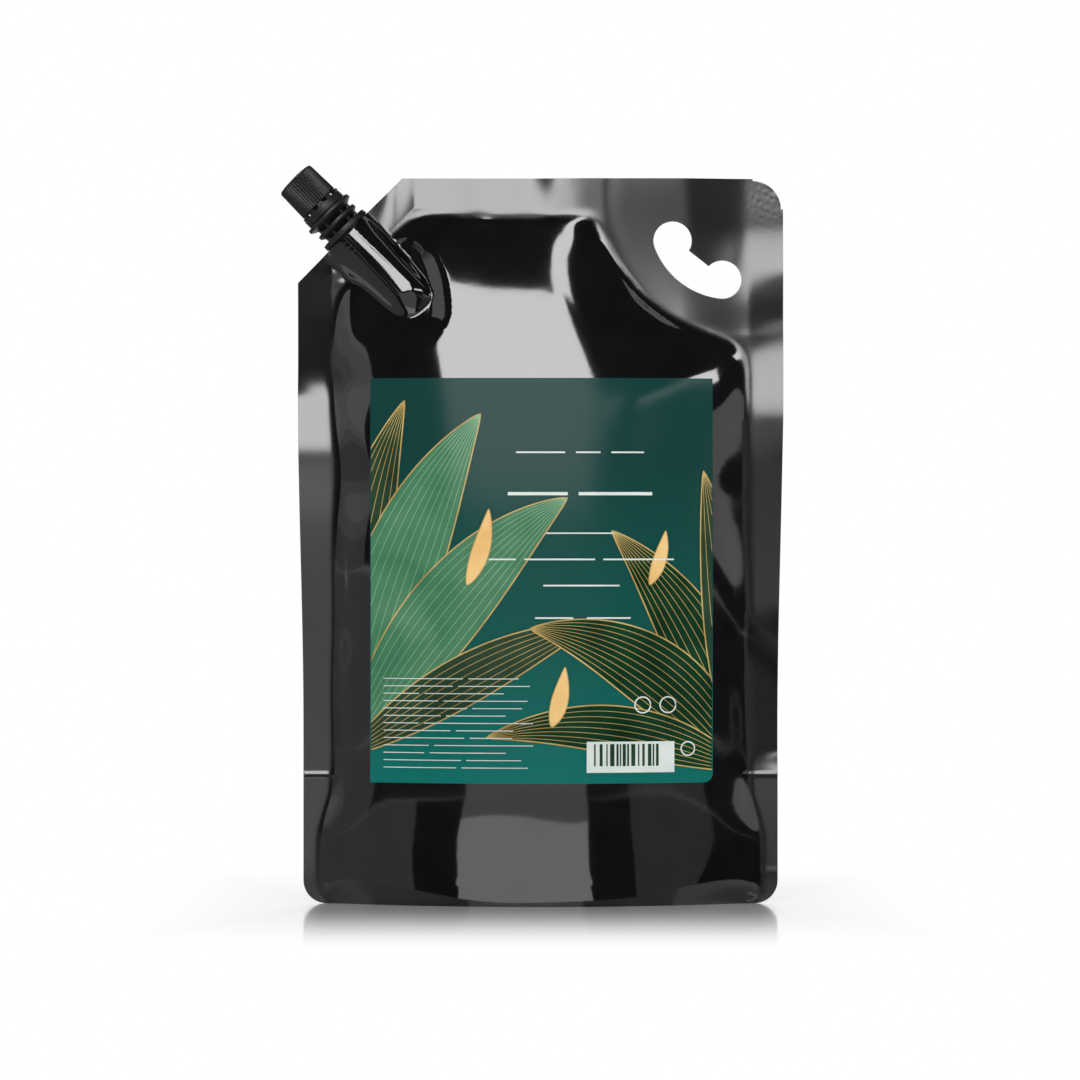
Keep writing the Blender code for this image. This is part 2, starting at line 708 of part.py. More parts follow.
def build_cap(frame):
    """Ribbed screw cap, hollow, with a rounded and slightly domed top."""
    foot = cap_foot()
    top = foot + CAP_HEIGHT
    base = 0.5 * CAP_BASE_WIDTH
    head = 0.5 * CAP_TOP_WIDTH
    bore = 0.5 * CAP_BORE
    shoulder = top - CAP_DOME - CAP_ROUNDING
    rings = [cap_ring(bore, 0.0, top - CAP_TOP_WALL)]
    rings += [cap_ring(radius, 0.0, foot) for radius in (bore, base)]
    rings.append(cap_ring(base, 0.0, foot + CAP_HEM))
    rings.append(cap_ring(base, CAP_RIB_DEPTH, foot + 2.0 * CAP_HEM))
    rings.append(cap_ring(head, CAP_RIB_DEPTH, shoulder))
    for turn in (30.0, 60.0, 90.0):
        bend = math.radians(turn)
        radius = head - CAP_ROUNDING * (1.0 - math.cos(bend))
        rings.append(cap_ring(radius, 0.0, shoulder + CAP_ROUNDING * math.sin(bend)))
    rings.append(cap_ring(0.5 * (head - CAP_ROUNDING), 0.0, top - 0.2 * CAP_DOME))
    vertices, faces = loft(rings)
    cap = make_object("cap", vertices, faces, 32.0)
    cap.parent = frame
    paint(cap, (0.014, 0.014, 0.016), 0.38)
    return cap


def build_seal(frame):
    """Sealing disc that lies on the mouth, loose under the cap's top."""
    foot = MOUTH_AT + CLEARANCE
    radius = 0.5 * CAP_BORE - CLEARANCE
    rings = [circle(radius, at) for at in (foot, foot + SEAL_THICK)]
    vertices, faces = loft(rings)
    seal = make_object("cap_seal", vertices, faces, 40.0)
    seal.parent = frame
    paint(seal, (0.55, 0.55, 0.53), 0.5)
    return seal


def main():
    """Clear the scene and build every sub-part."""
    for old in list(bpy.data.objects):
        bpy.data.objects.remove(old, do_unlink=True)
    frame = spout_frame()
    build_pouch(frame)
    build_label()
    build_spout(frame)
    build_band(frame)
    build_cap(frame)
    build_seal(frame)


main()
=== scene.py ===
# %% [markdown]
# # A glossy refill pouch with a corner spout
#
# The pouch is black laminated film, so nearly all that the eye sees on it is
# reflection. The lesson is therefore about two things: the shape of a filled
# film bag, and the cards and lamps that it mirrors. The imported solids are
# loaded first, as a fixed frame that every piece rides on.

import math

import bmesh
import bpy
import numpy as np
from mathutils import Matrix, Vector
from mathutils.geometry import delaunay_2d_cdt
from mathutils.kdtree import KDTree


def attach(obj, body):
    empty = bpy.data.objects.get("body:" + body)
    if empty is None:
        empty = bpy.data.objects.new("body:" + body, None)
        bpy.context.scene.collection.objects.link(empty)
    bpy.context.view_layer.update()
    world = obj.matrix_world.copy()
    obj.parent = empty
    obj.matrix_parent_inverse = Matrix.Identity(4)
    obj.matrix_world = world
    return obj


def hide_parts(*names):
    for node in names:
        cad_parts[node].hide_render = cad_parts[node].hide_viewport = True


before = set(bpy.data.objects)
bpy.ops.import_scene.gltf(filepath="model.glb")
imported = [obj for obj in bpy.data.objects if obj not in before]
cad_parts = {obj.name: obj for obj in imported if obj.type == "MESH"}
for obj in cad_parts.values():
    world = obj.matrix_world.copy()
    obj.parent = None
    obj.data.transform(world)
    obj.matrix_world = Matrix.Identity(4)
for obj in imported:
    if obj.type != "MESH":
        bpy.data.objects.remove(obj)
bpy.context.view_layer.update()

# %% [markdown]
# ## Measuring in millimetres
#
# Film packs are drawn in millimetres, so the shapes are worked out in them and
# turned to metres only when a mesh is made. Two small curves serve the whole
# script: an ease between two marks, and a smooth line through listed marks.

# %% Millimetres and two easing curves
MM = 0.001
ROOT2 = math.sqrt(2.0)


def ease(start, end, t):
    """0 before start, 1 after end, smooth between."""
    s = np.clip((t - start) / (end - start), 0.0, 1.0)
    return s * s * (3.0 - 2.0 * s)


def hump(centre, width, t):
    """A soft hump of height 1 around the centre."""
    return np.exp(-(((t - centre) / width) ** 2))


def through(t, marks):
    """A smooth line through (place, value) marks, level at each of them."""
    t = np.asarray(t, float)
    places = np.array([mark[0] for mark in marks], float)
    values = np.array([mark[1] for mark in marks], float)
    i = np.clip(np.searchsorted(places, t) - 1, 0, len(places) - 2)
    s = np.clip((t - places[i]) / (places[i + 1] - places[i]), 0.0, 1.0)
    return values[i] + (values[i + 1] - values[i]) * s * s * (3.0 - 2.0 * s)


# %% [markdown]
# ## The flat outline
#
# The bag is cut from flat film before it is filled: straight sides, one big
# corner cut off square for the spout, round lower corners, and a carry hole
# punched in the opposite corner. Filling draws the lower sides in a little.
# The outline is made of straight runs and arcs, the carry hole of three arcs.

# %% Sizes of the flat bag
POUCH_WIDTH = 180.0
POUCH_HEIGHT = 268.5
BASE_WIDTH = 175.6
TOP_CORNER_RADIUS = 10.5
TOP_CORNER_STEP = 0.8
BASE_CORNER_RADIUS = 8.5
CORNER_CUT = 38.7
EDGE_STEP = 1.4


def side_x(z):
    """Half width of the bag at height z."""
    drawn = ease(0.75 * POUCH_HEIGHT, 0.25 * POUCH_HEIGHT, z)
    return 0.5 * (POUCH_WIDTH + (BASE_WIDTH - POUCH_WIDTH) * drawn)


def arc(x, z, radius, start, end, count):
    """Points of an arc, angles in degrees."""
    angles = [math.radians(start + (end - start) * k / count) for k in range(count + 1)]
    return [(x + radius * math.cos(a), z + radius * math.sin(a)) for a in angles]


def bag_outline():
    """Corner points and arcs, anticlockwise from the lower left."""
    foot = 0.5 * BASE_WIDTH
    half = 0.5 * POUCH_WIDTH
    lower = BASE_CORNER_RADIUS
    upper = TOP_CORNER_RADIUS
    head = POUCH_HEIGHT
    points = arc(-foot + lower, lower, lower, 180, 270, 10)
    points += arc(foot - lower, lower, lower, 270, 360, 10)
    points += [(float(side_x(z)), z) for z in np.arange(20.0, 250.0, 10.0)]
    inset = TOP_CORNER_STEP
    points += [(half, head - upper - inset), (half - inset, head - upper - inset)]
    points += arc(half - upper - inset, head - upper - inset, upper, 0, 90, 12)
    points += [(half - upper - inset, head), (-half + CORNER_CUT, head)]
    points += [(-half, head - CORNER_CUT)]
    points += [(float(-side_x(z)), z) for z in np.arange(220.0, 15.0, -10.0)]
    return points


def filled_in(points, step):
    """The same closed line with points added, no further apart than the step."""
    line = []
    for (x0, z0), (x1, z1) in zip(points, points[1:] + points[:1]):
        count = max(1, math.ceil(math.hypot(x1 - x0, z1 - z0) / step - 0.01))
        line += [(x0 + (x1 - x0) * k / count, z0 + (z1 - z0) * k / count) for k in range(count)]
    return line


# %% The carry hole
HANDLE_CENTRE = (58.15, 238.2)
HANDLE_TILT = -37.9
HANDLE_SPAN = 23.4
HANDLE_END_RADIUS = 7.1
HANDLE_BOW = 10.4
HANDLE_LIP = 0.8


def carry_hole():
    """Two round ends, a bow below and a straight lip above."""
    half = 0.5 * HANDLE_SPAN
    spare = HANDLE_BOW - HANDLE_END_RADIUS
    bow_centre = (half ** 2 - spare ** 2) / (2.0 * spare)
    bow_radius = bow_centre + HANDLE_BOW
    lip = math.degrees(math.asin(HANDLE_LIP / HANDLE_END_RADIUS))
    meet = math.degrees(math.atan2(bow_centre, half))
    line = arc(-half, 0.0, HANDLE_END_RADIUS, lip, 180 + meet, 26)
    line += arc(0.0, bow_centre, bow_radius, 180 + meet, 360 - meet, 24)[1:]
    line += arc(half, 0.0, HANDLE_END_RADIUS, -meet, 180 - lip, 26)[1:]
    turn = math.radians(HANDLE_TILT)
    cx, cz = HANDLE_CENTRE
    cos, sin = math.cos(turn), math.sin(turn)
    return [(cx + u * cos - v * sin, cz + u * sin + v * cos) for u, v in line]


print("outline", len(bag_outline()), "points, carry hole", len(carry_hole()))

# %% [markdown]
# ## The filled shape
#
# A filled film bag takes the shape of a stretched membrane: pinned along its
# welded seams, pushed out by the liquid, most at the bottom. Instead of a cloth
# simulation, the membrane's equation is relaxed on a grid. It gives the same
# smooth swelling and steep shoulders each run, in a second or two.

# %% Where the two films are welded together
SIDE_SEAM = 12.5
LOW_SEAM = 5.5
CORNER_SEAL_RADIUS = 52.0
CORNER_SEAL_CENTRE = (75.0, 262.0)
FOLD_HEIGHT = 47.8
SPOUT_SEAL_DEPTH = 11.0
TOP_SEAL_EDGE = [
    (-90, 256.0), (-48, 257.6), (-35, 257.0), (-20, 255.0),
    (0, 254.3), (8, 256.2), (17, 258.2), (90, 258.2),
]


def from_cut(x, z):
    """Distance inwards from the cut corner's edge."""
    return ((x + 0.5 * POUCH_WIDTH) + (POUCH_HEIGHT - z) - CORNER_CUT) / ROOT2


def seam_x(z):
    """Half width between the side seams, which part below the gusset's fold."""
    upper = 0.5 * POUCH_WIDTH - SIDE_SEAM
    lower = 0.5 * BASE_WIDTH - LOW_SEAM
    return upper + (lower - upper) * ease(FOLD_HEIGHT, 0.5 * FOLD_HEIGHT, z)


def past_arc(x, z):
    """Distance into the sealed corner from its arc, negative in the filled part."""
    return CORNER_SEAL_RADIUS - np.hypot(x - CORNER_SEAL_CENTRE[0], z - CORNER_SEAL_CENTRE[1])


def is_welded(x, z):
    """Whether the front and back film are one sheet here."""
    sides = np.abs(x) > seam_x(z)
    top = z > through(x, TOP_SEAL_EDGE)
    return (past_arc(x, z) > 0.0) | sides | top | (from_cut(x, z) < SPOUT_SEAL_DEPTH)


# %% Relax the membrane
CELL = 1.25
GRID_LEFT = -91.25
BELLY = 26.2
BASE_HALF_DEPTH = 23.8
BASE_HALF_LENGTH = 77.0
FILL_LEVEL = 205.0
AIR_SHARE = 0.3
HEAD_LEVEL = 257.5
SHOULDER = 64.0
SEAM_BEND = 3.4
SEAM_WAVE = 0.10
FOOT_DRAW = 1.9
FLAT_CROWN = 0.55


def relaxed(depth, free, load, sweeps=700, drive=1.96):
    """Over-relaxation, red cells and then black cells on each pass."""
    rows, columns = np.indices(depth.shape)
    colours = [free & ((rows + columns) % 2 == colour) for colour in (0, 1)]
    for sweep in range(sweeps):
        for cells in colours:
            around = np.zeros_like(depth)
            around[1:-1, 1:-1] = depth[2:, 1:-1] + depth[:-2, 1:-1]
            around[1:-1, 1:-1] += depth[1:-1, 2:] + depth[1:-1, :-2]
            depth[cells] += drive * (0.25 * (around + load)[cells] - depth[cells])
    return depth


def membrane(xs, zs):
    """Depths of a weightless skin over the liquid, pinned at the welds."""
    free = ~is_welded(xs, zs)
    for border in (free[0], free[-1], free[:, 0], free[:, -1]):
        border[:] = False
    foot = np.zeros(free.shape)
    foot[0] = BASE_HALF_DEPTH * np.clip(1.0 - (xs[0] / BASE_HALF_LENGTH) ** 2, 0.0, None)
    foot = relaxed(foot, free, np.zeros(free.shape))
    load = AIR_SHARE + np.clip((FILL_LEVEL - zs) / FILL_LEVEL, 0.0, None)
    bulge = relaxed(np.zeros(free.shape), free, 0.01 * load)
    return foot + BELLY / bulge.max() * bulge


def swelling():
    """Depth of the filled front: the membrane, stiffened as film is."""
    xs, zs = np.meshgrid(np.arange(GRID_LEFT, 91.3, CELL), np.arange(0.0, 271.3, CELL))
    depth = membrane(xs, zs)
    wave = 1.0 + SEAM_WAVE * np.sin(zs / 8.5 + 0.06 * xs) * ease(40.0, 60.0, zs)
    bend = (0.8 + SEAM_BEND * ease(205.0, 150.0, zs) * ease(20.0, 60.0, zs)) * wave
    depth = depth * (1.0 - np.exp(-((depth / bend) ** 2)))
    heights = zs[:, 0]
    crest = BELLY * (1.0 - np.exp(-np.clip(HEAD_LEVEL - heights, 0.0, None) / SHOULDER))
    crest = crest - FOOT_DRAW * ease(40.0, 0.0, heights)
    share = crest / np.maximum(depth.max(axis=1), 0.05)
    share[heights > 252] = share[heights <= 252][-1]
    depth = depth * share[:, None]
    crest = np.maximum(depth.max(axis=1), 0.01)[:, None]
    power = 1.0 + FLAT_CROWN * ease(60.0, 150.0, zs)
    return crest * (1.0 - np.clip(1.0 - depth / crest, 0.0, 1.0) ** power)


# %% Soften and keep the shape
def softened(grid):
    """The grid blurred over its nearest neighbours."""
    p = np.pad(grid, 1, mode="edge")
    sides = p[2:, 1:-1] + p[:-2, 1:-1] + p[1:-1, 2:] + p[1:-1, :-2]
    corners = p[2:, 2:] + p[:-2, :-2] + p[2:, :-2] + p[:-2, 2:]
    return (4.0 * grid + 2.0 * sides + corners) / 16.0


SWELLING = softened(swelling())
print("filled depth", round(float(SWELLING.max()), 1), "mm each side")


# %% Read the grid smoothly
def read_grid(grid, x, z):
    """Bicubic reading, so that no grid line shows in the gloss."""
    gx = (x - GRID_LEFT) / CELL
    gz = z / CELL
    i = np.clip(np.floor(gx).astype(int), 1, grid.shape[1] - 3)
    j = np.clip(np.floor(gz).astype(int), 1, grid.shape[0] - 3)

    def weights(t):
        near = [-t + 2 * t**2 - t**3, 2 - 5 * t**2 + 3 * t**3]
        return near + [t + 4 * t**2 - 3 * t**3, -(t**2) + t**3]

    across, up = weights(gx - i), weights(gz - j)
    total = 0.0
    for a in range(4):
        for b in range(4):
            total = total + 0.25 * up[a] * across[b] * grid[j + a - 1, i + b - 1]
    return total


# %% [markdown]
# ## The film over the spout's base
#
# Under the film the spout has a boat-shaped base. The film is drawn over it as
# a ridge that runs down the spout's axis until it sinks into the swelling. The
# two shapes are joined by a soft maximum, which leaves the tight valley between
# them that catches a thin line of light.

# %% The ridge over the spout
SPOUT_FOOT = (-71.36, 248.44)
CREST_START = 5.9
CREST_SLOPE = 0.115
TAIL_BEND = 0.03
TAIL_SINKS = (38.0, 46.0)
VALLEY_SOFTNESS = 1.5


def spout_axes(x, z):
    """Distance inwards along the spout's axis, and sideways from it."""
    dx, dz = x - SPOUT_FOOT[0], z - SPOUT_FOOT[1]
    return (dx - dz) / ROOT2, (dx + dz) / ROOT2


def soft_max(a, b, softness):
    """The larger of two heights, with the valley between them rounded."""
    share = np.clip(0.5 + 0.5 * (a - b) / softness, 0.0, 1.0)
    return b + (a - b) * share + softness * share * (1.0 - share)


def ridge(x, z):
    """Height of the film drawn over the boat and its tail."""
    inward, aside = spout_axes(x, z)
    crest = CREST_START + CREST_SLOPE * np.minimum(inward, 40.0)
    crest = crest - TAIL_BEND * np.clip(inward - 30.0, 0.0, 12.0) ** 2
    sunk = 6.0 * ease(*TAIL_SINKS, inward)
    half_width = np.where(aside > 0, 9.8, 12.2)
    ribs = 0.05 * np.sin(2.0 * math.pi * inward / 2.3) * ease(8.5, 7.0, inward)
    ribs = ribs * ease(2.5, 4.0, np.abs(aside)) * ease(9.0, 7.5, np.abs(aside))
    fullness = 2.0 + 0.8 * ease(0.0, 34.0, inward)
    return crest * (1.0 - np.abs(aside / half_width) ** fullness) + ribs - sunk


# %% Small folds, and the depth of the film
POCKET_DEPTH = 0.52
POCKET_WIDTH = 7.0
PULL_FROM = (66.0, 200.0)
PULL_WAY = (-0.915, -0.403)


def pocket(x, z):
    """The hollow beside the ridge, up to a curved edge on its right."""
    edge = -33.2 - 0.0115 * np.clip(z - 220.0, 0.0, None) ** 2 - 9.2 * ease(219.0, 199.0, z)
    beside = np.clip(edge - x, 0.0, POCKET_WIDTH)
    reach = ease(252.0, 238.0, z) * ease(204.0, 219.0, z) * ease(-72.0, -52.0, x)
    return POCKET_DEPTH * beside**2 / (beside + 1.4) * reach


def pulls(x, z):
    """Ripples under the top seal, a fold in from the right seam, the pocket, a wave at the foot."""
    ripples = 0.07 * np.sin(x / 4.6 + 0.7) * hump(241.0, 7.0, z)
    ripples = ripples * ease(-38.0, -30.0, x) * ease(12.0, 4.0, x)
    dx, dz = x - PULL_FROM[0], z - PULL_FROM[1]
    along = PULL_WAY[0] * dx + PULL_WAY[1] * dz
    across = PULL_WAY[1] * dx - PULL_WAY[0] * dz
    fold = np.where(across > 0, hump(0.0, 4.6, across), hump(0.0, 9.0, across))
    fold = 0.5 * fold * ease(-6.0, 12.0, along) * ease(48.0, 30.0, along)
    foot = 0.16 * np.sin(x / 9.0 + 0.5 * np.sin(z / 9.0))
    foot = foot * hump(20.0, 16.0, z) * ease(66.0, 50.0, np.abs(x))
    return ripples + fold - pocket(x, z) + foot


def welded_folds(x, z):
    """Edges of the gusset film inside the side seams, and the stitch of heat along the skirt."""
    fold = 0.3 * hump(FOLD_HEIGHT, 0.7, z) * ease(75.0, 77.0, np.abs(x))
    low = 0.25 * hump(11.6, 0.8, z) * ease(81.0, 83.0, x)
    skirt = 0.10 * hump(8.7, 1.1, z) * ease(-34.0, -28.0, x) * ease(24.0, 16.0, x)
    return fold + low - skirt


def film_depth(x, z):
    """Depth of the front film from the seam plane."""
    body = read_grid(SWELLING, x, z)
    body = body + pulls(x, z) * ease(0.2, 3.0, body)
    return np.maximum(soft_max(ridge(x, z), body, VALLEY_SOFTNESS) + welded_folds(x, z), 0.0)


# %% [markdown]
# ## How the welded edges lean
#
# The seams aren't flat either: the filled body pulls on them, so the top seam
# leans back and the side seams curl. A single function shifts both films
# together, front to back, so the bag stays one sheet where it is welded.

# %% Lean of the seams
FILM = 0.2
TOP_LEAN = [(-90, 0.0), (-64, 0.0), (-54, 0.11), (-46, 0.165), (-5, 0.165), (8, 0.06), (18, 0.0), (90, 0.0)]
LEFT_SHIFT = [(0, 0.0), (50, 0.0), (140, -2.6), (165, -2.2), (194, 1.6), (215, 1.6), (235, 0.6), (270, 0.0)]
LEFT_TWIST = [(0, 0.0), (50, 0.0), (186, 0.0), (202, 0.3), (222, 0.27), (250, 0.2), (270, 0.1)]
RIGHT_SHIFT = [
    (0, 0.0), (50, 0.0), (100, -1.0), (150, -1.2), (178, -1.4),
    (207, 1.8), (222, 1.2), (252, 3.6), (270, 3.8),
]
RIGHT_TWIST = [
    (0, 0.0), (48, 0.0), (58, 0.19), (94, 0.19), (112, 0.08), (160, 0.1),
    (180, 0.0), (200, 0.0), (218, 0.15), (236, 0.0), (270, 0.0),
]
# z - x on the inner edge of the seal along the cut corner
CUT_SEAL_LINE = 304.2


def corner_curl(x, z):
    """The sealed corner bends back past its arc, less near the top seam, and crinkles at its tip."""
    rim = np.clip(past_arc(x, z), 0.0, None)
    forward = 0.9 * hump(44.0, 22.0, x) * hump(270.0, 19.0, z) * ease(0.0, 8.0, rim)
    crinkle = 0.22 * np.sin(1.7 * x + 0.8 * z) * np.sin(1.5 * z - 0.9 * x)
    crinkle = crinkle * hump(84.0, 6.0, x) * hump(260.0, 7.0, z)
    return 1.1 * (1.0 - np.exp(-rim / 8.0)) - forward + crinkle


def lean(x, z):
    """Shift of the whole sheet towards the back."""
    edge = np.minimum(through(x, TOP_SEAL_EDGE), x + CUT_SEAL_LINE)
    shift = through(x, TOP_LEAN) * np.clip(z - edge, 0.0, None)
    beyond = np.clip(np.abs(x) - seam_x(z), 0.0, None)
    for side, slide, twist in ((-1, LEFT_SHIFT, LEFT_TWIST), (1, RIGHT_SHIFT, RIGHT_TWIST)):
        shift = shift + through(z, slide) * ease(52.0, 77.0, side * x)
        shift = shift + through(z, twist) * np.where(side * x > 0, beyond, 0.0)
    dents = 0.35 * hump(-76.2, 2.2, x) * hump(233.0, 2.4, z)
    dents = dents + 0.3 * hump(-74.0, 3.4, x) * hump(229.6, 1.6, z)
    return shift + corner_curl(x, z) - dents


def front_y(x, z):
    return -(FILM + film_depth(x, z)) + lean(x, z)


def back_y(x, z):
    return FILM + film_depth(x, z) + lean(x, z)


# %% [markdown]
# ## The gusset
#
# The bottom is a third film, folded up inside like a W. Filled, its middle is
# pushed down flat onto the table and its ends stay tucked up, and the front
# and back film stand around it as a short skirt, the rim that the pack rests
# on. Cross-sections along the width follow that, from skirt to skirt.

# %% Sections of the gusset
SKIRT_HEIGHT = 8.7
SKIRT_WALL = 0.7
REST_HALF_LENGTH = 36.0
REST_SHARE = 0.6
TUCK_END = 74.0
GUSSET_STEPS = 16


def under_height(x, share):
    """Underside of the gusset at a share of the way from the middle to the skirt."""
    tucked = float(ease(REST_HALF_LENGTH, TUCK_END, abs(x)))
    middle = SKIRT_HEIGHT * float(ease(REST_SHARE, 1.0, abs(share))) - 0.6 * (1.0 - abs(share))
    peak = FOLD_HEIGHT - 0.6
    folded = SKIRT_HEIGHT + (peak - SKIRT_HEIGHT) * (1.0 - abs(share))
    return max(middle + (folded - middle) * tucked, 0.05)


def gusset_section(x):
    """From the front skirt's inner foot, up, across under the gusset, and down at the back."""
    foot = float(film_depth(np.array(x), np.array(0.0))) + FILM - SKIRT_WALL
    shoulder = float(film_depth(np.array(x), np.array(SKIRT_HEIGHT))) + FILM - SKIRT_WALL
    shares = [-1.0 + 2.0 * k / GUSSET_STEPS for k in range(GUSSET_STEPS + 1)]
    line = [(x, -foot, 0.0)]
    line += [(x, s * shoulder, under_height(x, s)) for s in shares]
    return line + [(x, foot, 0.0)]


# %% [markdown]
# ## The film mesh
#
# A grid would step along the slanted and round edges, so the outline is filled
# by constrained Delaunay triangulation: the edge and the carry hole are kept
# exactly, and a honeycomb of inner points follows the swelling. The points lie
# closer where the shape is busy: around the spout, and in rows along the
# gusset's folds at the sides.

# %% Triangulate the flat bag
POINT_STEP = 1.4
FINE_STEP = 0.65
SPOUT_ZONE = (-92.0, 212.0, -36.0, 262.0)
FOLD_ROWS = (-1.2, -0.7, -0.35, 0.0, 0.35, 0.7, 1.2)


def honeycomb(left, low, right, high, step):
    """Points of a triangular lattice over a rectangle."""
    rows = int((high - low) / (step * 0.866))
    points = []
    for row in range(rows + 1):
        z = low + row * step * 0.866
        start = left + (0.5 * step if row % 2 else 0.0)
        points += [(x, z) for x in np.arange(start, right, step)]
    return points


def in_zone(x, z, zone):
    return zone[0] < x < zone[2] and zone[1] < z < zone[3]


def inside(points, outline):
    """Which points lie inside a closed line, by counting crossings."""
    xs, zs = np.array(points).T
    count = np.zeros(len(xs), int)
    for (x0, z0), (x1, z1) in zip(outline, outline[1:] + outline[:1]):
        spans = (z0 > zs) != (z1 > zs)
        rise = (z1 - z0) if z1 != z0 else 1e-9
        count += spans & (xs < x0 + (x1 - x0) * (zs - z0) / rise)
    return count % 2 == 1


def triangulated(outlines, points, clearance):
    """Triangles of the area inside the first outline and outside the others."""
    keep = inside(points, outlines[0])
    for hole in outlines[1:]:
        keep &= ~inside(points, hole)
    border = [p for line in outlines for p in line]
    near = KDTree(len(border))
    for k, (x, z) in enumerate(border):
        near.insert((x, z, 0.0), k)
    near.balance()
    chosen = [p for p, kept in zip(points, keep) if kept and near.find((*p, 0.0))[2] > clearance]
    edges, start = [], 0
    for line in outlines:
        edges += [(start + k, start + (k + 1) % len(line)) for k in range(len(line))]
        start += len(line)
    flat = [Vector(p) for line in outlines for p in line] + [Vector(p) for p in chosen]
    vertices, _, faces, _, _, _ = delaunay_2d_cdt(flat, edges, [], 0, 1e-6, False)
    spots = np.array([(v.x, v.y) for v in vertices])
    middles = [tuple(spots[list(face)].mean(axis=0)) for face in faces]
    kept = inside(middles, outlines[0])
    for hole in outlines[1:]:
        kept &= ~inside(middles, hole)
    return spots, [tuple(face) for face, k in zip(faces, kept) if k]


def border_edges(faces):
    """Edges that only one triangle uses, in that triangle's direction."""
    used = set()
    for a, b, c in faces:
        used |= {(a, b), (b, c), (c, a)}
    return [(a, b) for a, b in used if (b, a) not in used]


# %% Build the film
def make_piece(name, points, faces, sharp=35.0):
    """A smooth-shaded mesh object from points in millimetres."""
    mesh = bpy.data.meshes.new(name)
    mesh.from_pydata([tuple(MM * c for c in p) for p in points], [], faces)
    mesh.validate()
    work = bmesh.new()
    work.from_mesh(mesh)
    bmesh.ops.remove_doubles(work, verts=work.verts, dist=0.002 * MM)
    bmesh.ops.recalc_face_normals(work, faces=work.faces)
    work.to_mesh(mesh)
    work.free()
    mesh.shade_smooth()
    mesh.set_sharp_from_angle(angle=math.radians(sharp))
    made = bpy.data.objects.new(name, mesh)
    bpy.context.scene.collection.objects.link(made)
    print(name, len(mesh.polygons), "faces")
    return made


def ring_faces(start, rings, size, closed=False):
    """Quads from each ring of points to the next, and from the last to the first if closed."""
    faces = []
    for r in range(rings if closed else rings - 1):
        a, b = start + r * size, start + (r + 1) % rings * size
        faces += [(a + p, a + (p + 1) % size, b + (p + 1) % size, b + p) for p in range(size)]
    return faces


def end_faces(start, rings, size):
    """The two faces that close a stack of rings."""
    last = start + (rings - 1) * size
    return [tuple(range(start + size - 1, start - 1, -1)), tuple(range(last, last + size))]


def build_film():
    outline = filled_in(bag_outline(), EDGE_STEP)
    coarse = [p for p in honeycomb(-90, 1.0, 90, 268, POINT_STEP) if not in_zone(*p, SPOUT_ZONE)]
    fine = honeycomb(*SPOUT_ZONE, FINE_STEP)
    folds = [(x, FOLD_HEIGHT + up) for up in FOLD_ROWS for x in np.arange(-86.5, 87.0, 1.0) if abs(x) > 74]
    away = [p for p in coarse + fine if abs(p[1] - FOLD_HEIGHT) > 1.6 or abs(p[0]) < 74]
    spots, faces = triangulated([outline, carry_hole()], away + folds, 0.4)
    x, z = spots.T
    front = np.stack([x, front_y(x, z), z], axis=1)
    back = np.stack([x, back_y(x, z), z], axis=1)
    points = [tuple(p) for p in front] + [tuple(p) for p in back]
    shift = len(front)
    skin = list(faces) + [tuple(shift + v for v in reversed(face)) for face in faces]
    floor_edge = []
    for a, b in border_edges(faces):
        under = z[a] < 0.01 and z[b] < 0.01
        if under and abs(x[a]) < TUCK_END and abs(x[b]) < TUCK_END:
            floor_edge.append((a, b))
        else:
            skin.append((b, a, shift + a, shift + b))
    stops = sorted({v for edge in floor_edge for v in edge}, key=lambda v: x[v])
    rings = []
    for v in stops:
        start = len(points)
        section = gusset_section(float(x[v]))
        points += section
        rings.append([v] + list(range(start, start + len(section))) + [shift + v])
    for ring, following in zip(rings, rings[1:]):
        for k in range(len(ring) - 1):
            skin.append((ring[k], ring[k + 1], following[k + 1], following[k]))
    for ring in (rings[0], rings[-1]):
        skin.append(tuple(ring[1:-1]))
    return make_piece("film_pack", points, skin)


film_pack = build_film()
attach(film_pack, "pack")
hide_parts("pouch")

# %% [markdown]
# ## The printed label
#
# The print is a dull patch on the glossy film: its ink takes most of the
# mirror away and shows its own green. It is made as a thin sheet that follows
# the film, so it bends with every swelling underneath.

# %% Build the label
LABEL_LEFT = -62.8
LABEL_RIGHT = 63.5
LABEL_BOTTOM = 45.2
LABEL_TOP = 194.1
LABEL_LIFT = 0.06
LABEL_FILM = 0.08
LABEL_CORNER = 3.3
LABEL_STEP = 2.0


def over_film(x, z, lift):
    """Points on the front film, lifted off it by a hair."""
    x, z = np.asarray(x, float), np.asarray(z, float)
    return np.stack([x, front_y(x, z) - lift, z], axis=-1)


def sheet(name, outline, lift, thick, step):
    """A thin closed sheet that lies on the front film."""
    line = filled_in(outline, step)
    xs = [p[0] for p in line]
    zs = [p[1] for p in line]
    lattice = honeycomb(min(xs), min(zs), max(xs), max(zs), step)
    spots, faces = triangulated([line], lattice, 0.4 * step)
    x, z = spots.T
    points = [tuple(p) for p in over_film(x, z, lift + thick)]
    points += [tuple(p) for p in over_film(x, z, lift)]
    shift = len(spots)
    skin = list(faces) + [tuple(shift + v for v in reversed(face)) for face in faces]
    skin += [(b, a, shift + a, shift + b) for a, b in border_edges(faces)]
    return make_piece(name, points, skin)


def label_outline():
    corner = arc(LABEL_RIGHT - LABEL_CORNER, LABEL_BOTTOM + LABEL_CORNER, LABEL_CORNER, 270, 360, 6)
    return [(LABEL_LEFT, LABEL_BOTTOM)] + corner + [(LABEL_RIGHT, LABEL_TOP), (LABEL_LEFT, LABEL_TOP)]


label_sheet = sheet("label_sheet", label_outline(), LABEL_LIFT, LABEL_FILM, LABEL_STEP)
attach(label_sheet, "pack")
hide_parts("label")

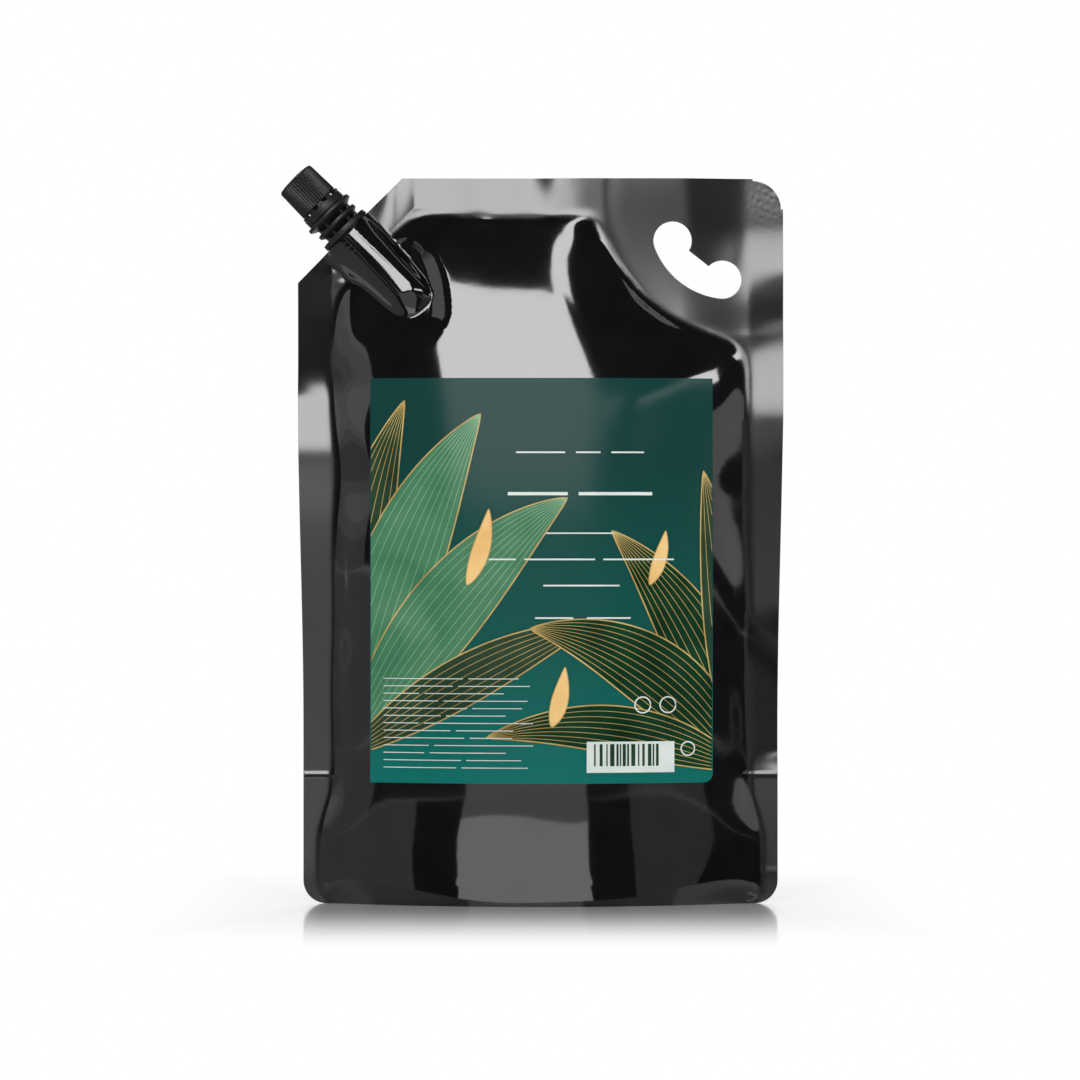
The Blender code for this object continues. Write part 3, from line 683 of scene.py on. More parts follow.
# %% [markdown]
# ## Film and ink
#
# Black film is a mirror over a nearly black body: a Principled shader with a
# very dark base, low roughness and the index of refraction of polyester. A
# very faint noise bump gives the skin of laminated film. The ink keeps its
# colour and gives back only a tenth of that mirror.

# %% Materials of the film and the label
def shader_of(name):
    material = bpy.data.materials.new(name)
    material.use_nodes = True
    return material, material.node_tree, material.node_tree.nodes["Principled BSDF"]


def add_node(tree, kind, values=None):
    """A node of the tree, with some of its inputs set."""
    made = tree.nodes.new("ShaderNode" + kind)
    for name, value in (values or {}).items():
        made.inputs[name].default_value = value
    return made


def add_bump(tree, shader, scale, strength, distance):
    """Fine relief from noise, in the object's own coordinates."""
    place = add_node(tree, "TexCoord")
    noise = add_node(tree, "TexNoise", {"Scale": scale, "Detail": 3.0})
    relief = add_node(tree, "Bump", {"Strength": strength, "Distance": distance})
    tree.links.new(place.outputs["Object"], noise.inputs["Vector"])
    tree.links.new(noise.outputs["Fac"], relief.inputs["Height"])
    tree.links.new(relief.outputs["Normal"], shader.inputs["Normal"])
    return noise


def ramp_from(tree, source, stops):
    """A colour ramp over a value."""
    ramp = add_node(tree, "ValToRGB")
    ramp.color_ramp.elements[0].position = stops[0][0]
    ramp.color_ramp.elements[0].color = stops[0][1]
    ramp.color_ramp.elements[1].position = stops[-1][0]
    ramp.color_ramp.elements[1].color = stops[-1][1]
    for position, color in stops[1:-1]:
        ramp.color_ramp.elements.new(position).color = color
    tree.links.new(source, ramp.inputs["Fac"])
    return ramp


FILM_BLACK = (0.0040, 0.0036, 0.0046, 1.0)
FILM_BLACK_WORN = (0.0062, 0.0058, 0.0070, 1.0)
FILM_ROUGHNESS = 0.06
WELD_ROUGHNESS = 0.22
POLYESTER_IOR = 1.63


def mark_welds(piece):
    """Store on each point how much of a weld it is, 1 where the films are one sheet."""
    marks = piece.data.attributes.new("weld", "FLOAT", "POINT")
    for vertex, mark in zip(piece.data.vertices, marks.data):
        x, z = vertex.co.x / MM, vertex.co.z / MM
        mark.value = float(ease(0.9, 0.1, film_depth(np.array(x), np.array(z))))


def film_material():
    material, tree, shader = shader_of("black_film")
    weld = add_node(tree, "Attribute")
    weld.attribute_name = "weld"
    gloss = add_node(tree, "MapRange", {"To Min": FILM_ROUGHNESS, "To Max": WELD_ROUGHNESS})
    tree.links.new(weld.outputs["Fac"], gloss.inputs["Value"])
    tree.links.new(gloss.outputs["Result"], shader.inputs["Roughness"])
    noise = add_bump(tree, shader, 90.0, 0.05, 0.0004)
    ramp = ramp_from(tree, noise.outputs["Fac"], [(0.35, FILM_BLACK), (0.75, FILM_BLACK_WORN)])
    tree.links.new(ramp.outputs["Color"], shader.inputs["Base Color"])
    shader.inputs["IOR"].default_value = POLYESTER_IOR
    return material


mark_welds(film_pack)
film_pack.data.materials.append(film_material())

# %% Green ink, darker at the top
INK_TOP = (0.0078, 0.0480, 0.0425, 1.0)
INK_MIDDLE = (0.007, 0.084, 0.070, 1.0)
INK_BOTTOM = (0.0060, 0.1480, 0.1240, 1.0)
INK_ROUGHNESS = 0.16
INK_MIRROR = 0.068


def ink_material():
    material, tree, shader = shader_of("green_ink")
    place = add_node(tree, "TexCoord")
    parts = add_node(tree, "SeparateXYZ")
    spread = add_node(tree, "MapRange", {"From Min": LABEL_BOTTOM * MM, "From Max": LABEL_TOP * MM})
    tree.links.new(place.outputs["Object"], parts.inputs["Vector"])
    tree.links.new(parts.outputs["Z"], spread.inputs["Value"])
    stops = [(0.0, INK_BOTTOM), (0.35, INK_MIDDLE), (0.8, INK_TOP)]
    ramp = ramp_from(tree, spread.outputs["Result"], stops)
    tree.links.new(ramp.outputs["Color"], shader.inputs["Base Color"])
    add_bump(tree, shader, 700.0, 0.05, 0.0001)
    shader.inputs["Roughness"].default_value = INK_ROUGHNESS
    shader.inputs["Specular IOR Level"].default_value = INK_MIRROR
    return material


label_sheet.data.materials.append(ink_material())

# %% [markdown]
# ## The leaves on the label
#
# The print is drawn as thin sheets and ribbons that lie on the label, one layer
# over the other: long blades with parallel veins and gold edges, fanning in
# from two corners. A blade is a bent spine and a width along it. Its veins run
# at fixed shares of that width, so they crowd together at both ends, as in a
# real leaf.

# %% Blades, their veins and edges
ART_FRAME = (LABEL_LEFT + 0.3, LABEL_BOTTOM + 0.3, LABEL_RIGHT - 0.3, LABEL_TOP - 0.3)
BLADE_STEPS = 64


def blade_lines(base, bend, tip, width, shares):
    """Lines along a blade, each at its share of the half width from the spine."""
    t = np.linspace(0.0, 1.0, BLADE_STEPS)[:, None]
    base, bend, tip = (np.array(p, float) for p in (base, bend, tip))
    spine = (1 - t) ** 2 * base + 2 * t * (1 - t) * bend + t ** 2 * tip
    along = 2 * (1 - t) * (bend - base) + 2 * t * (tip - bend)
    along /= np.linalg.norm(along, axis=1, keepdims=True)
    aside = np.stack([-along[:, 1], along[:, 0]], axis=1)
    half = width * np.sin(np.pi * np.clip(t, 0.0, 1.0) ** 0.8) ** 0.85
    return [spine + share * half * aside for share in shares]


def blade_outline(edges):
    """One edge out to the tip and the other back to the base."""
    return [tuple(p) for p in edges[0]] + [tuple(p) for p in edges[1][::-1]][1:-1]


def in_frame(p):
    return ART_FRAME[0] <= p[0] <= ART_FRAME[2] and ART_FRAME[1] <= p[1] <= ART_FRAME[3]


def crossing(inner, outer):
    """The point where a segment leaves the frame, by halving."""
    for halving in range(12):
        middle = 0.5 * (inner + outer)
        if in_frame(middle):
            inner = middle
        else:
            outer = middle
    return inner


def kept_runs(line):
    """The parts of a line that lie in the frame."""
    runs, run = [], []
    for before, point in zip([None] + list(line[:-1]), line):
        if in_frame(point):
            if before is not None and not in_frame(before):
                run = [crossing(point, before)]
            run.append(point)
        elif run:
            run.append(crossing(run[-1], point))
            runs.append(run)
            run = []
    return [r for r in runs + [run] if len(r) > 2]


def clipped(outline):
    """A closed outline cut off at the frame's four sides."""
    left, low, right, high = ART_FRAME
    for axis, limit, sign in ((0, left, 1), (0, right, -1), (1, low, 1), (1, high, -1)):
        kept = []
        for a, b in zip(outline, outline[1:] + outline[:1]):
            da, db = sign * (a[axis] - limit), sign * (b[axis] - limit)
            if da >= 0:
                kept.append(a)
            if (da >= 0) != (db >= 0):
                s = da / (da - db)
                kept.append((a[0] + s * (b[0] - a[0]), a[1] + s * (b[1] - a[1])))
        outline = kept
    return outline


# %% Ribbons that lie on the film
def add_ribbon(points, faces, line, width, lift, thick=0.03, ends=0.4):
    """A thin closed strip along a line, narrowed at both ends."""
    line = np.array(line)
    along = np.gradient(line, axis=0)
    along /= np.maximum(np.linalg.norm(along, axis=1, keepdims=True), 1e-9)
    aside = np.stack([-along[:, 1], along[:, 0]], axis=1)
    half = np.full((len(line), 1), 0.5 * width)
    half[0] *= ends
    half[-1] *= ends
    start = len(points)
    one, other = line + half * aside, line - half * aside
    rings = [over_film(*side.T, level) for level in (lift + thick, lift) for side in (one, other)]
    order = (rings[0], rings[1], rings[3], rings[2])
    for k in range(len(line)):
        points += [tuple(ring[k]) for ring in order]
    faces += ring_faces(start, len(line), 4) + end_faces(start, len(line), 4)


def print_ink(name, dark, light, scale=60.0):
    """Ink with a soft mottle, as dull as the label's green."""
    material, tree, shader = shader_of(name)
    noise = add_bump(tree, shader, scale, 0.03, 0.0001)
    ramp = ramp_from(tree, noise.outputs["Fac"], [(0.3, (*dark, 1.0)), (0.7, (*light, 1.0))])
    tree.links.new(ramp.outputs["Color"], shader.inputs["Base Color"])
    shader.inputs["Roughness"].default_value = INK_ROUGHNESS
    shader.inputs["Specular IOR Level"].default_value = INK_MIRROR
    return material


def lay_print(piece, material):
    """Put a printed piece on the pack, as part of the label."""
    piece.data.materials.append(material)
    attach(piece, "pack")
    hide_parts("label")


light_leaf = print_ink("light_leaf_ink", (0.045, 0.165, 0.085), (0.085, 0.235, 0.125))
dark_leaf = print_ink("dark_leaf_ink", (0.003, 0.022, 0.008), (0.008, 0.050, 0.020))
shade_leaf = print_ink("shade_leaf_ink", (0.016, 0.040, 0.022), (0.030, 0.066, 0.034))
gold_ink = print_ink("gold_ink", (0.36, 0.24, 0.07), (0.62, 0.46, 0.17))
vein_ink = print_ink("vein_ink", (0.16, 0.36, 0.18), (0.30, 0.50, 0.28))
warm_ink = print_ink("warm_ink", (0.72, 0.42, 0.13), (0.90, 0.62, 0.27))
pale_ink = print_ink("pale_ink", (0.60, 0.68, 0.63), (0.74, 0.80, 0.76))

# %% Two fans of blades
BLADES = [
    ("shade", (-70, 56), (-74, 128), (-50, 186), 12.0, 7),
    ("light", (-70, 56), (-54, 138), (-22, 181), 15.0, 10),
    ("light", (-70, 56), (-30, 126), (10, 150), 14.0, 10),
    ("shade", (-70, 56), (-20, 92), (20, 104), 9.0, 7),
    ("dark", (74, 50), (62, 104), (26, 138), 12.0, 9),
    ("dark", (74, 50), (44, 98), (-4, 102), 13.0, 10),
    ("dark", (74, 50), (26, 74), (-20, 62), 9.0, 8),
    ("shade", (74, 50), (70, 112), (60, 160), 9.0, 6),
]
FILLS = {"light": light_leaf, "dark": dark_leaf, "shade": shade_leaf}
PRINT_LIFT = 0.16
LAYER = 0.045
INK_FILM = 0.02
VEIN_WIDTH = 0.2
EDGE_WIDTH = 0.48


def draw_blades():
    vein_points, vein_faces, gold_points, gold_faces = [], [], [], []
    for k, (tone, base, bend, tip, width, veins) in enumerate(BLADES):
        lift = PRINT_LIFT + LAYER * k
        edges = blade_lines(base, bend, tip, width, (1.0, -1.0))
        fill = sheet(f"blade_{k + 1}", clipped(blade_outline(edges)), lift, INK_FILM, 1.9)
        lay_print(fill, FILLS[tone])
        shares = [-1.0 + 2.0 * v / veins for v in range(1, veins)]
        for line in blade_lines(base, bend, tip, width, shares):
            for run in kept_runs(line):
                target = (gold_points, gold_faces) if tone != "light" else (vein_points, vein_faces)
                add_ribbon(*target, run, VEIN_WIDTH, lift + INK_FILM)
        for line in edges:
            for run in kept_runs(line):
                add_ribbon(gold_points, gold_faces, run, EDGE_WIDTH, lift + 0.03)
    lay_print(make_piece("leaf_veins", vein_points, vein_faces), vein_ink)
    lay_print(make_piece("gold_lines", gold_points, gold_faces), gold_ink)


draw_blades()

# %% Warm seed pods between the blades
PODS = [
    ((-27, 118), (-20, 132), (-19, 146), 3.2),
    ((4, 66), (8, 76), (9, 88), 3.0),
    ((40, 118), (45, 128), (46, 138), 2.4),
]
POD_LIFT = 0.56


def draw_pods():
    points, faces = [], []
    for k, (base, bend, tip, width) in enumerate(PODS):
        edges = blade_lines(base, bend, tip, width, (1.0, -1.0))
        lay_print(sheet(f"pod_{k + 1}", blade_outline(edges)[::2], POD_LIFT, INK_FILM, 1.6), warm_ink)
        for line in edges:
            add_ribbon(points, faces, line, 0.35, POD_LIFT + 0.03)
    lay_print(make_piece("pod_edges", points, faces), gold_ink)


draw_pods()

# %% [markdown]
# ## Rules, hair lines and a striped panel
#
# Plain rules in a few lengths and weights, a block of hair lines, a striped
# panel and three rings lie over the blades. They are ribbons too, and give the
# label its balance of empty and busy parts.

# %% Rules, hair lines, stripes and rings
RULES = [
    (166.7, 0.6, (-9, 9, 13, 22, 26, 38)),
    (151.5, 1.2, (-12, 10, 14, 41)),
    (137.0, 0.5, (2, 27)),
    (127.4, 0.6, (-19, -9, -6, 20, 23, 49)),
    (117.8, 0.6, (1, 29)),
    (105.9, 0.6, (-2, 12, 17, 33)),
]
RULE_LIFT = 0.57
HAIR_ROWS = 13
HAIR_TOP = 83.6
HAIR_PITCH = 2.72
RINGS = [(37.5, 74.0, 2.9), (46.8, 74.0, 2.9), (54.2, 57.8, 2.5)]
PANEL = [(16.9, 49.2), (49.2, 49.2), (49.2, 60.6), (16.9, 60.6)]
STRIPES_FROM = 19.6
STRIPES = (0.6, 1.1, 0.5, 1.6, 0.8, 0.5, 1.2, 0.7, 1.5, 0.5, 0.9, 1.3, 0.6, 1.0)


def straight(x0, x1, z0, z1):
    """Points along a straight line, close enough to follow the film."""
    count = max(3, math.ceil(math.hypot(x1 - x0, z1 - z0) / 1.6))
    return [(x0 + (x1 - x0) * k / count, z0 + (z1 - z0) * k / count) for k in range(count + 1)]


def draw_rules():
    points, faces = [], []
    for z, thick, stops in RULES:
        for x0, x1 in zip(stops[::2], stops[1::2]):
            add_ribbon(points, faces, straight(x0, x1, z, z), thick, RULE_LIFT, ends=1.0)
    for row in range(HAIR_ROWS):
        z = HAIR_TOP - HAIR_PITCH * row
        end = -8.0 + 5.5 * math.sin(2.3 * row)
        gap = -36.0 + 9.0 * math.sin(1.7 * row + 1.0)
        for x0, x1 in ((-57.8, gap), (gap + 2.0, end)):
            add_ribbon(points, faces, straight(x0, x1, z, z), 0.3, RULE_LIFT, ends=1.0)
    for x, z, radius in RINGS:
        add_ribbon(points, faces, arc(x, z, radius, 0, 360, 32), 0.5, RULE_LIFT)
    lay_print(make_piece("pale_rules", points, faces), pale_ink)


def draw_panel():
    lay_print(sheet("panel", PANEL, RULE_LIFT, INK_FILM, 1.9), pale_ink)
    points, faces = [], []
    x = STRIPES_FROM
    for k, width in enumerate(STRIPES):
        stripe = straight(x + 0.5 * width, x + 0.5 * width, 51.6, 59.7)
        add_ribbon(points, faces, stripe, width, RULE_LIFT + 0.03, ends=1.0)
        x += width + STRIPES[(5 * k + 3) % len(STRIPES)] * 0.9
    lay_print(make_piece("panel_stripes", points, faces), shade_leaf)


draw_rules()
draw_panel()

# %% [markdown]
# ## The spout, the band and the cap
#
# All three are moulded in black polyethylene and turn around one slanted axis.
# Each is a profile turned about that axis, with fins, teeth and ribs made by
# changing the radius with the angle, in the spout's own frame: its foot on the
# film's edge and its length pointing out of the corner.

# %% Satin moulded plastic, and the spout's frame
def plastic_material(name, colour, roughness):
    material, tree, shader = shader_of(name)
    noise = add_bump(tree, shader, 900.0, 0.04, 0.0001)
    lighter = tuple(1.5 * c for c in colour[:3]) + (1.0,)
    ramp = ramp_from(tree, noise.outputs["Fac"], [(0.3, colour), (0.8, lighter)])
    tree.links.new(ramp.outputs["Color"], shader.inputs["Base Color"])
    shader.inputs["Roughness"].default_value = roughness
    shader.inputs["Specular IOR Level"].default_value = 0.35
    return material


black_plastic = plastic_material("black_polyethylene", (0.0065, 0.0065, 0.0078, 1.0), 0.42)
SPOUT_TO_PACK = Matrix.Translation(Vector((SPOUT_FOOT[0], 0.0, SPOUT_FOOT[1])))
SPOUT_TO_PACK = SPOUT_TO_PACK @ Matrix.Rotation(math.radians(-45.0), 4, "Y")


def on_spout(radius, angle, height):
    """A point around the spout's axis, in the pack's frame."""
    return SPOUT_TO_PACK @ Vector((radius * math.cos(angle), radius * math.sin(angle), height))


def turned(name, profile, steps=96, radius_at=None, sharp=35.0):
    """A closed profile of (radius, height) turned about the spout's axis."""
    points = []
    for k in range(steps):
        angle = 2.0 * math.pi * k / steps
        for radius, height in profile:
            r = radius_at(radius, height, angle) if radius_at else radius
            points.append(on_spout(r, angle, height))
    return make_piece(name, points, ring_faces(0, steps, len(profile), closed=True), sharp)


def stacked(name, rings):
    """Rings of points joined one to the next, closed at both ends."""
    size = len(rings[0])
    faces = ring_faces(0, len(rings), size) + end_faces(0, len(rings), size)
    return make_piece(name, [point for ring in rings for point in ring], faces)


def rounded(profile, radius, count=3):
    """The closed profile with its corners rounded by short arcs."""
    line = []
    for before, corner, after in zip(profile[-1:] + profile[:-1], profile, profile[1:] + profile[:1]):
        corner = Vector(corner)
        to_before = Vector(before) - corner
        to_after = Vector(after) - corner
        cut = min(radius, 0.45 * to_before.length, 0.45 * to_after.length)
        start = corner + cut * to_before.normalized()
        end = corner + cut * to_after.normalized()
        for k in range(count + 1):
            t = k / count
            line.append(tuple((1 - t) ** 2 * start + 2 * t * (1 - t) * corner + t ** 2 * end))
    return line


# %% The spout's flanges, fins, neck and thread
BORE = 8.6
NECK = 10.7
FLANGES = [(20.4, 0.3, 1.9), (18.1, 4.9, 1.3), (20.2, 9.1, 1.3)]
BEAD = (13.2, 12.2, 1.2)
MOUTH_AT = 25.4


def spout_profile():
    bore = 0.5 * BORE
    neck = 0.5 * NECK
    line = [(bore, -11.5), (bore + 0.4, -11.5), (neck - 0.4, 0.3)]
    for width, at, thick in FLANGES:
        line += [(0.5 * width, at), (0.5 * width, at + thick), (neck, at + thick)]
        line += [(neck, at + thick + 0.2)] if at < 9.0 else []
    width, at, thick = BEAD
    line += [(neck, at), (0.5 * width, at), (neck, at + thick)]
    line += [(neck, MOUTH_AT - 0.5), (neck - 0.5, MOUTH_AT), (bore, MOUTH_AT)]
    return line


spout_body = turned("spout_body", rounded(spout_profile(), 0.22), sharp=40.0)

# %% Fins between the flanges
FIN_COUNT = 6
FIN_REACH = 15.0
FIN_THICK = 1.2


def box_faces(start):
    quads = [(0, 3, 2, 1), (4, 5, 6, 7), (0, 1, 5, 4), (1, 2, 6, 5), (2, 3, 7, 6), (3, 0, 4, 7)]
    return [tuple(start + v for v in quad) for quad in quads]


def radial_blocks(name, count, inner, outer, half_width, low, high, phase=0.0):
    """Blocks that stand out from the axis at even angles."""
    points, faces = [], []
    for k in range(count):
        turn = Matrix.Rotation(2.0 * math.pi * (k + phase) / count, 4, "Z")
        faces += box_faces(len(points))
        foot = ((inner, -half_width), (outer, -half_width), (outer, half_width), (inner, half_width))
        for height in (low, high):
            points += [SPOUT_TO_PACK @ turn @ Vector((x, y, height)) for x, y in foot]
    return make_piece(name, points, faces)


spout_fins = radial_blocks("spout_fins", FIN_COUNT, 4.8, 0.5 * FIN_REACH, 0.5 * FIN_THICK, 1.5, 9.6)


# %% The weld boat inside the film
BOAT_HALF_LENGTH = 9.6
BOAT_DEPTH = 11.0
BOAT_RIB = 0.3
BOAT_STEPS = 40


def boat():
    """Pointed rings down into the film, a little thinner than the ridge over them."""
    rings = []
    for level in [-BOAT_DEPTH + 0.55 * k for k in range(21)] + [0.9]:
        rib = BOAT_RIB if int((level + BOAT_DEPTH) / 1.35) % 2 else 0.0
        half_length = BOAT_HALF_LENGTH - rib
        half_thick = max(CREST_START - CREST_SLOPE * level - 0.6 - rib, 3.6)
        ring = []
        for k in range(BOAT_STEPS):
            a = 2.0 * math.pi * k / BOAT_STEPS
            x = half_length * math.cos(a)
            y = half_thick * math.copysign(1.0 - (abs(x) / half_length) ** 2, math.sin(a))
            ring.append(SPOUT_TO_PACK @ Vector((x, y, level)))
        rings.append(ring)
    return stacked("weld_boat", rings)


weld_boat = boat()


# %% The screw thread on the neck
THREAD_LEAD = 4.0
THREAD_TURNS = 1.75
THREAD_FOOT = 15.6
THREAD_HEIGHT = 0.75


def screw_thread():
    """A ridge wound up the neck, thin at both ends."""
    rings = []
    steps = int(96 * THREAD_TURNS)
    root = 0.5 * NECK - 0.2
    for k in range(steps + 1):
        angle = 2.0 * math.pi * k / 96
        height = THREAD_FOOT + THREAD_LEAD * k / 96
        crest = 0.5 * NECK + THREAD_HEIGHT * float(ease(0, 10, k) * ease(steps, steps - 10, k))
        section = ((root, -0.7), (crest, -0.3), (crest, 0.3), (root, 0.7))
        rings.append([on_spout(radius, angle, height + up) for radius, up in section])
    return stacked("neck_thread", rings)


neck_thread = screw_thread()

# %% The tamper band
BAND_FOOT = 10.7
BAND_HEIGHT = 3.0
BAND_RADIUS = 8.7
BAND_BORE = 7.0
BAND_GRIP = 5.75
BAND_TEETH = 12


def band_profile():
    foot = BAND_FOOT
    top = foot + BAND_HEIGHT
    outside = [(BAND_GRIP, foot), (BAND_RADIUS, foot), (BAND_RADIUS, top)]
    return outside + [(BAND_BORE, top), (BAND_BORE, foot + 1.0), (BAND_GRIP, foot + 0.7)]


band_ring = turned("band_ring", rounded(band_profile(), 0.25))
band_teeth = radial_blocks("band_teeth", BAND_TEETH, 7.2, 8.5, 1.0, 12.5, 14.8)

# %% The cap, ribbed for grip
CAP_FOOT = 15.1
CAP_HEIGHT = 13.3
CAP_RADIUS = 8.0
CAP_BORE = 6.3
CAP_RIBS = 48
CAP_RIB_DEPTH = 0.35
CAP_TOP_WALL = 1.3
SEAL_RADIUS = 6.0
SEAL_FOOT = 25.7
SEAL_THICK = 1.0


def cap_profile():
    top = CAP_FOOT + CAP_HEIGHT
    outer = [(CAP_RADIUS, CAP_FOOT), (CAP_RADIUS, CAP_FOOT + 0.9), (7.7, top - 1.6)]
    bends = np.radians([22, 45, 67, 90])
    crown = [(7.7 - 1.1 * (1 - math.cos(a)), top - 1.6 + 1.1 * math.sin(a)) for a in bends]
    dome = [(5.4, top - 0.28), (3.4, top - 0.1), (1.4, top), (0.4, top)]
    inside_wall = [(0.4, top - CAP_TOP_WALL), (CAP_BORE, top - CAP_TOP_WALL), (CAP_BORE, CAP_FOOT)]
    return outer + crown + dome + inside_wall


def cap_radius(radius, height, angle):
    """Shallow grooves between the ribs, fading out at the hem and the crown."""
    if radius < 7.0 or height < CAP_FOOT + 0.8:
        return radius
    groove = 0.5 - 0.5 * math.cos(CAP_RIBS * angle)
    return radius - CAP_RIB_DEPTH * groove ** 0.7


def disc(name, radius, low, high, steps=96):
    angles = [2.0 * math.pi * k / steps for k in range(steps)]
    return stacked(name, [[on_spout(radius, a, height) for a in angles] for height in (low, high)])


cap_shell = turned("cap_shell", cap_profile(), steps=384, radius_at=cap_radius)
CAP_TOP = CAP_FOOT + CAP_HEIGHT
cap_crown = disc("cap_crown", 0.5, CAP_TOP - CAP_TOP_WALL, CAP_TOP)
seal_disc = disc("seal_disc", SEAL_RADIUS, SEAL_FOOT, SEAL_FOOT + SEAL_THICK)

# %% Put the spout's pieces on their bodies
for piece in (spout_body, spout_fins, weld_boat, neck_thread):
    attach(piece, "pack")
    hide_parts("spout")
for piece in (band_ring, band_teeth):
    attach(piece, "pack")
    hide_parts("tamper_band")
for piece in (cap_shell, cap_crown):
    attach(piece, "closure")
    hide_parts("cap")
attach(seal_disc, "seal")
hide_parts("cap_seal")
moulded = (spout_body, spout_fins, weld_boat, neck_thread, band_ring, band_teeth, cap_shell, cap_crown)
for piece in moulded:
    piece.data.materials.append(black_plastic)
seal_disc.data.materials.append(plastic_material("pale_foam", (0.45, 0.45, 0.43, 1.0), 0.6))

# %% [markdown]
# ## The studio
#
# A black glossy pack is lit by what it mirrors. The white world all round shows
# as mid grey on its steep flanks, and black and dim cards in front keep its face
# dark. A big soft box above the camera draws the pale patch, with two narrow
# boxes to its right, one tall, and a slanted box for the sealed corner. The same
# cards stand behind the pack. The camera sees none of them, and only the soft
# box also lights what isn't glossy.

# %% Cards on a sphere around the pack
STUDIO_CENTRE = Vector((0.0, 0.0, 0.134))
CARD_LIGHT = (0.98, 0.985, 1.0, 1.0)


def glowing_card(name, points, faces, colour, strength):
    """A card of even light that the camera and shadows don't see."""
    mesh = bpy.data.meshes.new(name)
    mesh.from_pydata(points, [], faces)
    card = bpy.data.objects.new(name, mesh)
    bpy.context.scene.collection.objects.link(card)
    material, tree, shader = shader_of(name)
    tree.nodes.remove(shader)
    light = add_node(tree, "Emission", {"Color": colour, "Strength": strength})
    tree.links.new(light.outputs["Emission"], tree.nodes["Material Output"].inputs["Surface"])
    mesh.materials.append(material)
    card.visible_camera = False
    card.visible_shadow = False
    card.visible_transmission = False
    return card, tree, light


def between(ends, share):
    """The angle at a share of the way between two, in radians."""
    return math.radians(ends[0] + (ends[1] - ends[0]) * share)


def studio_card(name, azimuths, elevations, radius, strength, rise=0.0, behind=False):
    """A curved card between two azimuths and two elevations, in degrees, 0 towards the camera."""
    steps = 12
    sign = -1.0 if behind else 1.0
    points, faces = [], []
    for j in range(steps + 1):
        for i in range(steps + 1):
            az = between(azimuths, i / steps)
            el = between(elevations, j / steps) + rise * (az - between(azimuths, 0))
            out = sign * math.cos(el)
            way = Vector((math.sin(az) * out, -math.cos(az) * out, math.sin(el)))
            points.append(STUDIO_CENTRE + radius * way)
    for j in range(steps):
        row = j * (steps + 1)
        faces += [(row + i, row + i + 1, row + i + steps + 2, row + i + steps + 1) for i in range(steps)]
    return glowing_card(name, points, faces, CARD_LIGHT, strength)[0]


# name, azimuths, elevations, radius, strength, rise of the card a degree to the right
CARDS = [
    ("black_card", (-55, 44), (-3.7, 88), 3.0, 0.02),
    ("dim_left", (-88, -55), (-3.7, 3), 2.95, 0.4),
    ("dim_left_middle", (-88, -55), (3, 6.5), 2.95, 0.58),
    ("dim_left_top", (-88, -55), (6.5, 10), 2.95, 0.8),
    ("dim_right", (29, 54), (-3.7, 4), 2.95, 0.3),
    ("black_far", (54, 90), (-3.7, 1.2), 2.95, 0.02),
    ("black_right", (44, 85), (15, 88), 3.0, 0.02),
    ("black_left", (-85, -55), (38, 75), 3.0, 0.02),
    ("gap_card", (-24, 15), (-3.7, 5), 2.9, 0.8),
    ("soft_box", (-15, 6), (9, 32.5), 2.8, 10.0),
    ("side_box", (6, 9.5), (14, 33), 2.8, 10.0),
    ("high_box", (6, 13), (32.5, 62), 2.8, 10.0),
    ("slant_box", (19, 54), (15.0, 20.5), 2.8, 10.0, 0.29),
]
for name, azimuths, elevations, radius, strength, *rise in CARDS:
    for behind in (False, True):
        lowest = max(elevations[0], 12) if behind else elevations[0]
        if lowest < elevations[1]:
            spot = name + ("_back" if behind else "_front")
            span = (lowest, elevations[1])
            card = studio_card(spot, azimuths, span, radius, strength, *rise, behind=behind)
            card.visible_diffuse = name == "soft_box"

# %% Cards on the floor, for the foot of the pack
# name, azimuths, near and far radius, strength
FLOOR_CARDS = [
    ("floor_dim_left", (-88, -40), (0.02, 2.2), 0.4),
    ("floor_black_left", (-40, -24), (0.02, 2.2), 0.02),
    ("floor_middle", (-24, 15), (0.30, 2.2), 0.8),
    ("floor_bright", (-24, 15), (0.02, 0.30), 2.1),
    ("floor_black_right", (15, 29), (0.02, 2.2), 0.02),
    ("floor_dim_right", (29, 54), (0.02, 2.2), 0.3),
    ("floor_black_far", (54, 88), (0.02, 2.2), 0.02),
]


FLOOR_LIGHT = (0.95, 0.97, 1.0, 1.0)
FLOOR_CARD_HEIGHT = 0.0004


def floor_card(name, azimuths, reach, strength, behind):
    """A sector on the floor that only the gloss sees, and only from above."""
    steps = 16
    sign = 1.0 if behind else -1.0
    points = []
    for r in reach:
        for k in range(steps + 1):
            az = between(azimuths, k / steps)
            x = 0.085 * math.sin(0.9 * az) + r * math.sin(az)
            y = 0.02 + r * math.cos(az)
            points.append((-sign * x, sign * y, FLOOR_CARD_HEIGHT))
    faces = [(k, k + steps + 1, k + steps + 2, k + 1) for k in range(steps)]
    card, tree, light = glowing_card(name, points, faces, FLOOR_LIGHT, strength)
    card.visible_diffuse = False
    clear = add_node(tree, "BsdfTransparent")
    facing = add_node(tree, "NewGeometry")
    mix = add_node(tree, "MixShader")
    tree.links.new(facing.outputs["Backfacing"], mix.inputs["Fac"])
    tree.links.new(light.outputs["Emission"], mix.inputs[1])
    tree.links.new(clear.outputs["BSDF"], mix.inputs[2])
    tree.links.new(mix.outputs["Shader"], tree.nodes["Material Output"].inputs["Surface"])


for name, azimuths, reach, strength in FLOOR_CARDS:
    for behind in (False, True):
        floor_card(name + ("_back" if behind else "_front"), azimuths, reach, strength, behind)
print("cards in the studio", len(CARDS), "and on the floor", len(FLOOR_CARDS), "in front, the same behind")

# %% White world, camera and floor
WORLD_FILL = 0.45


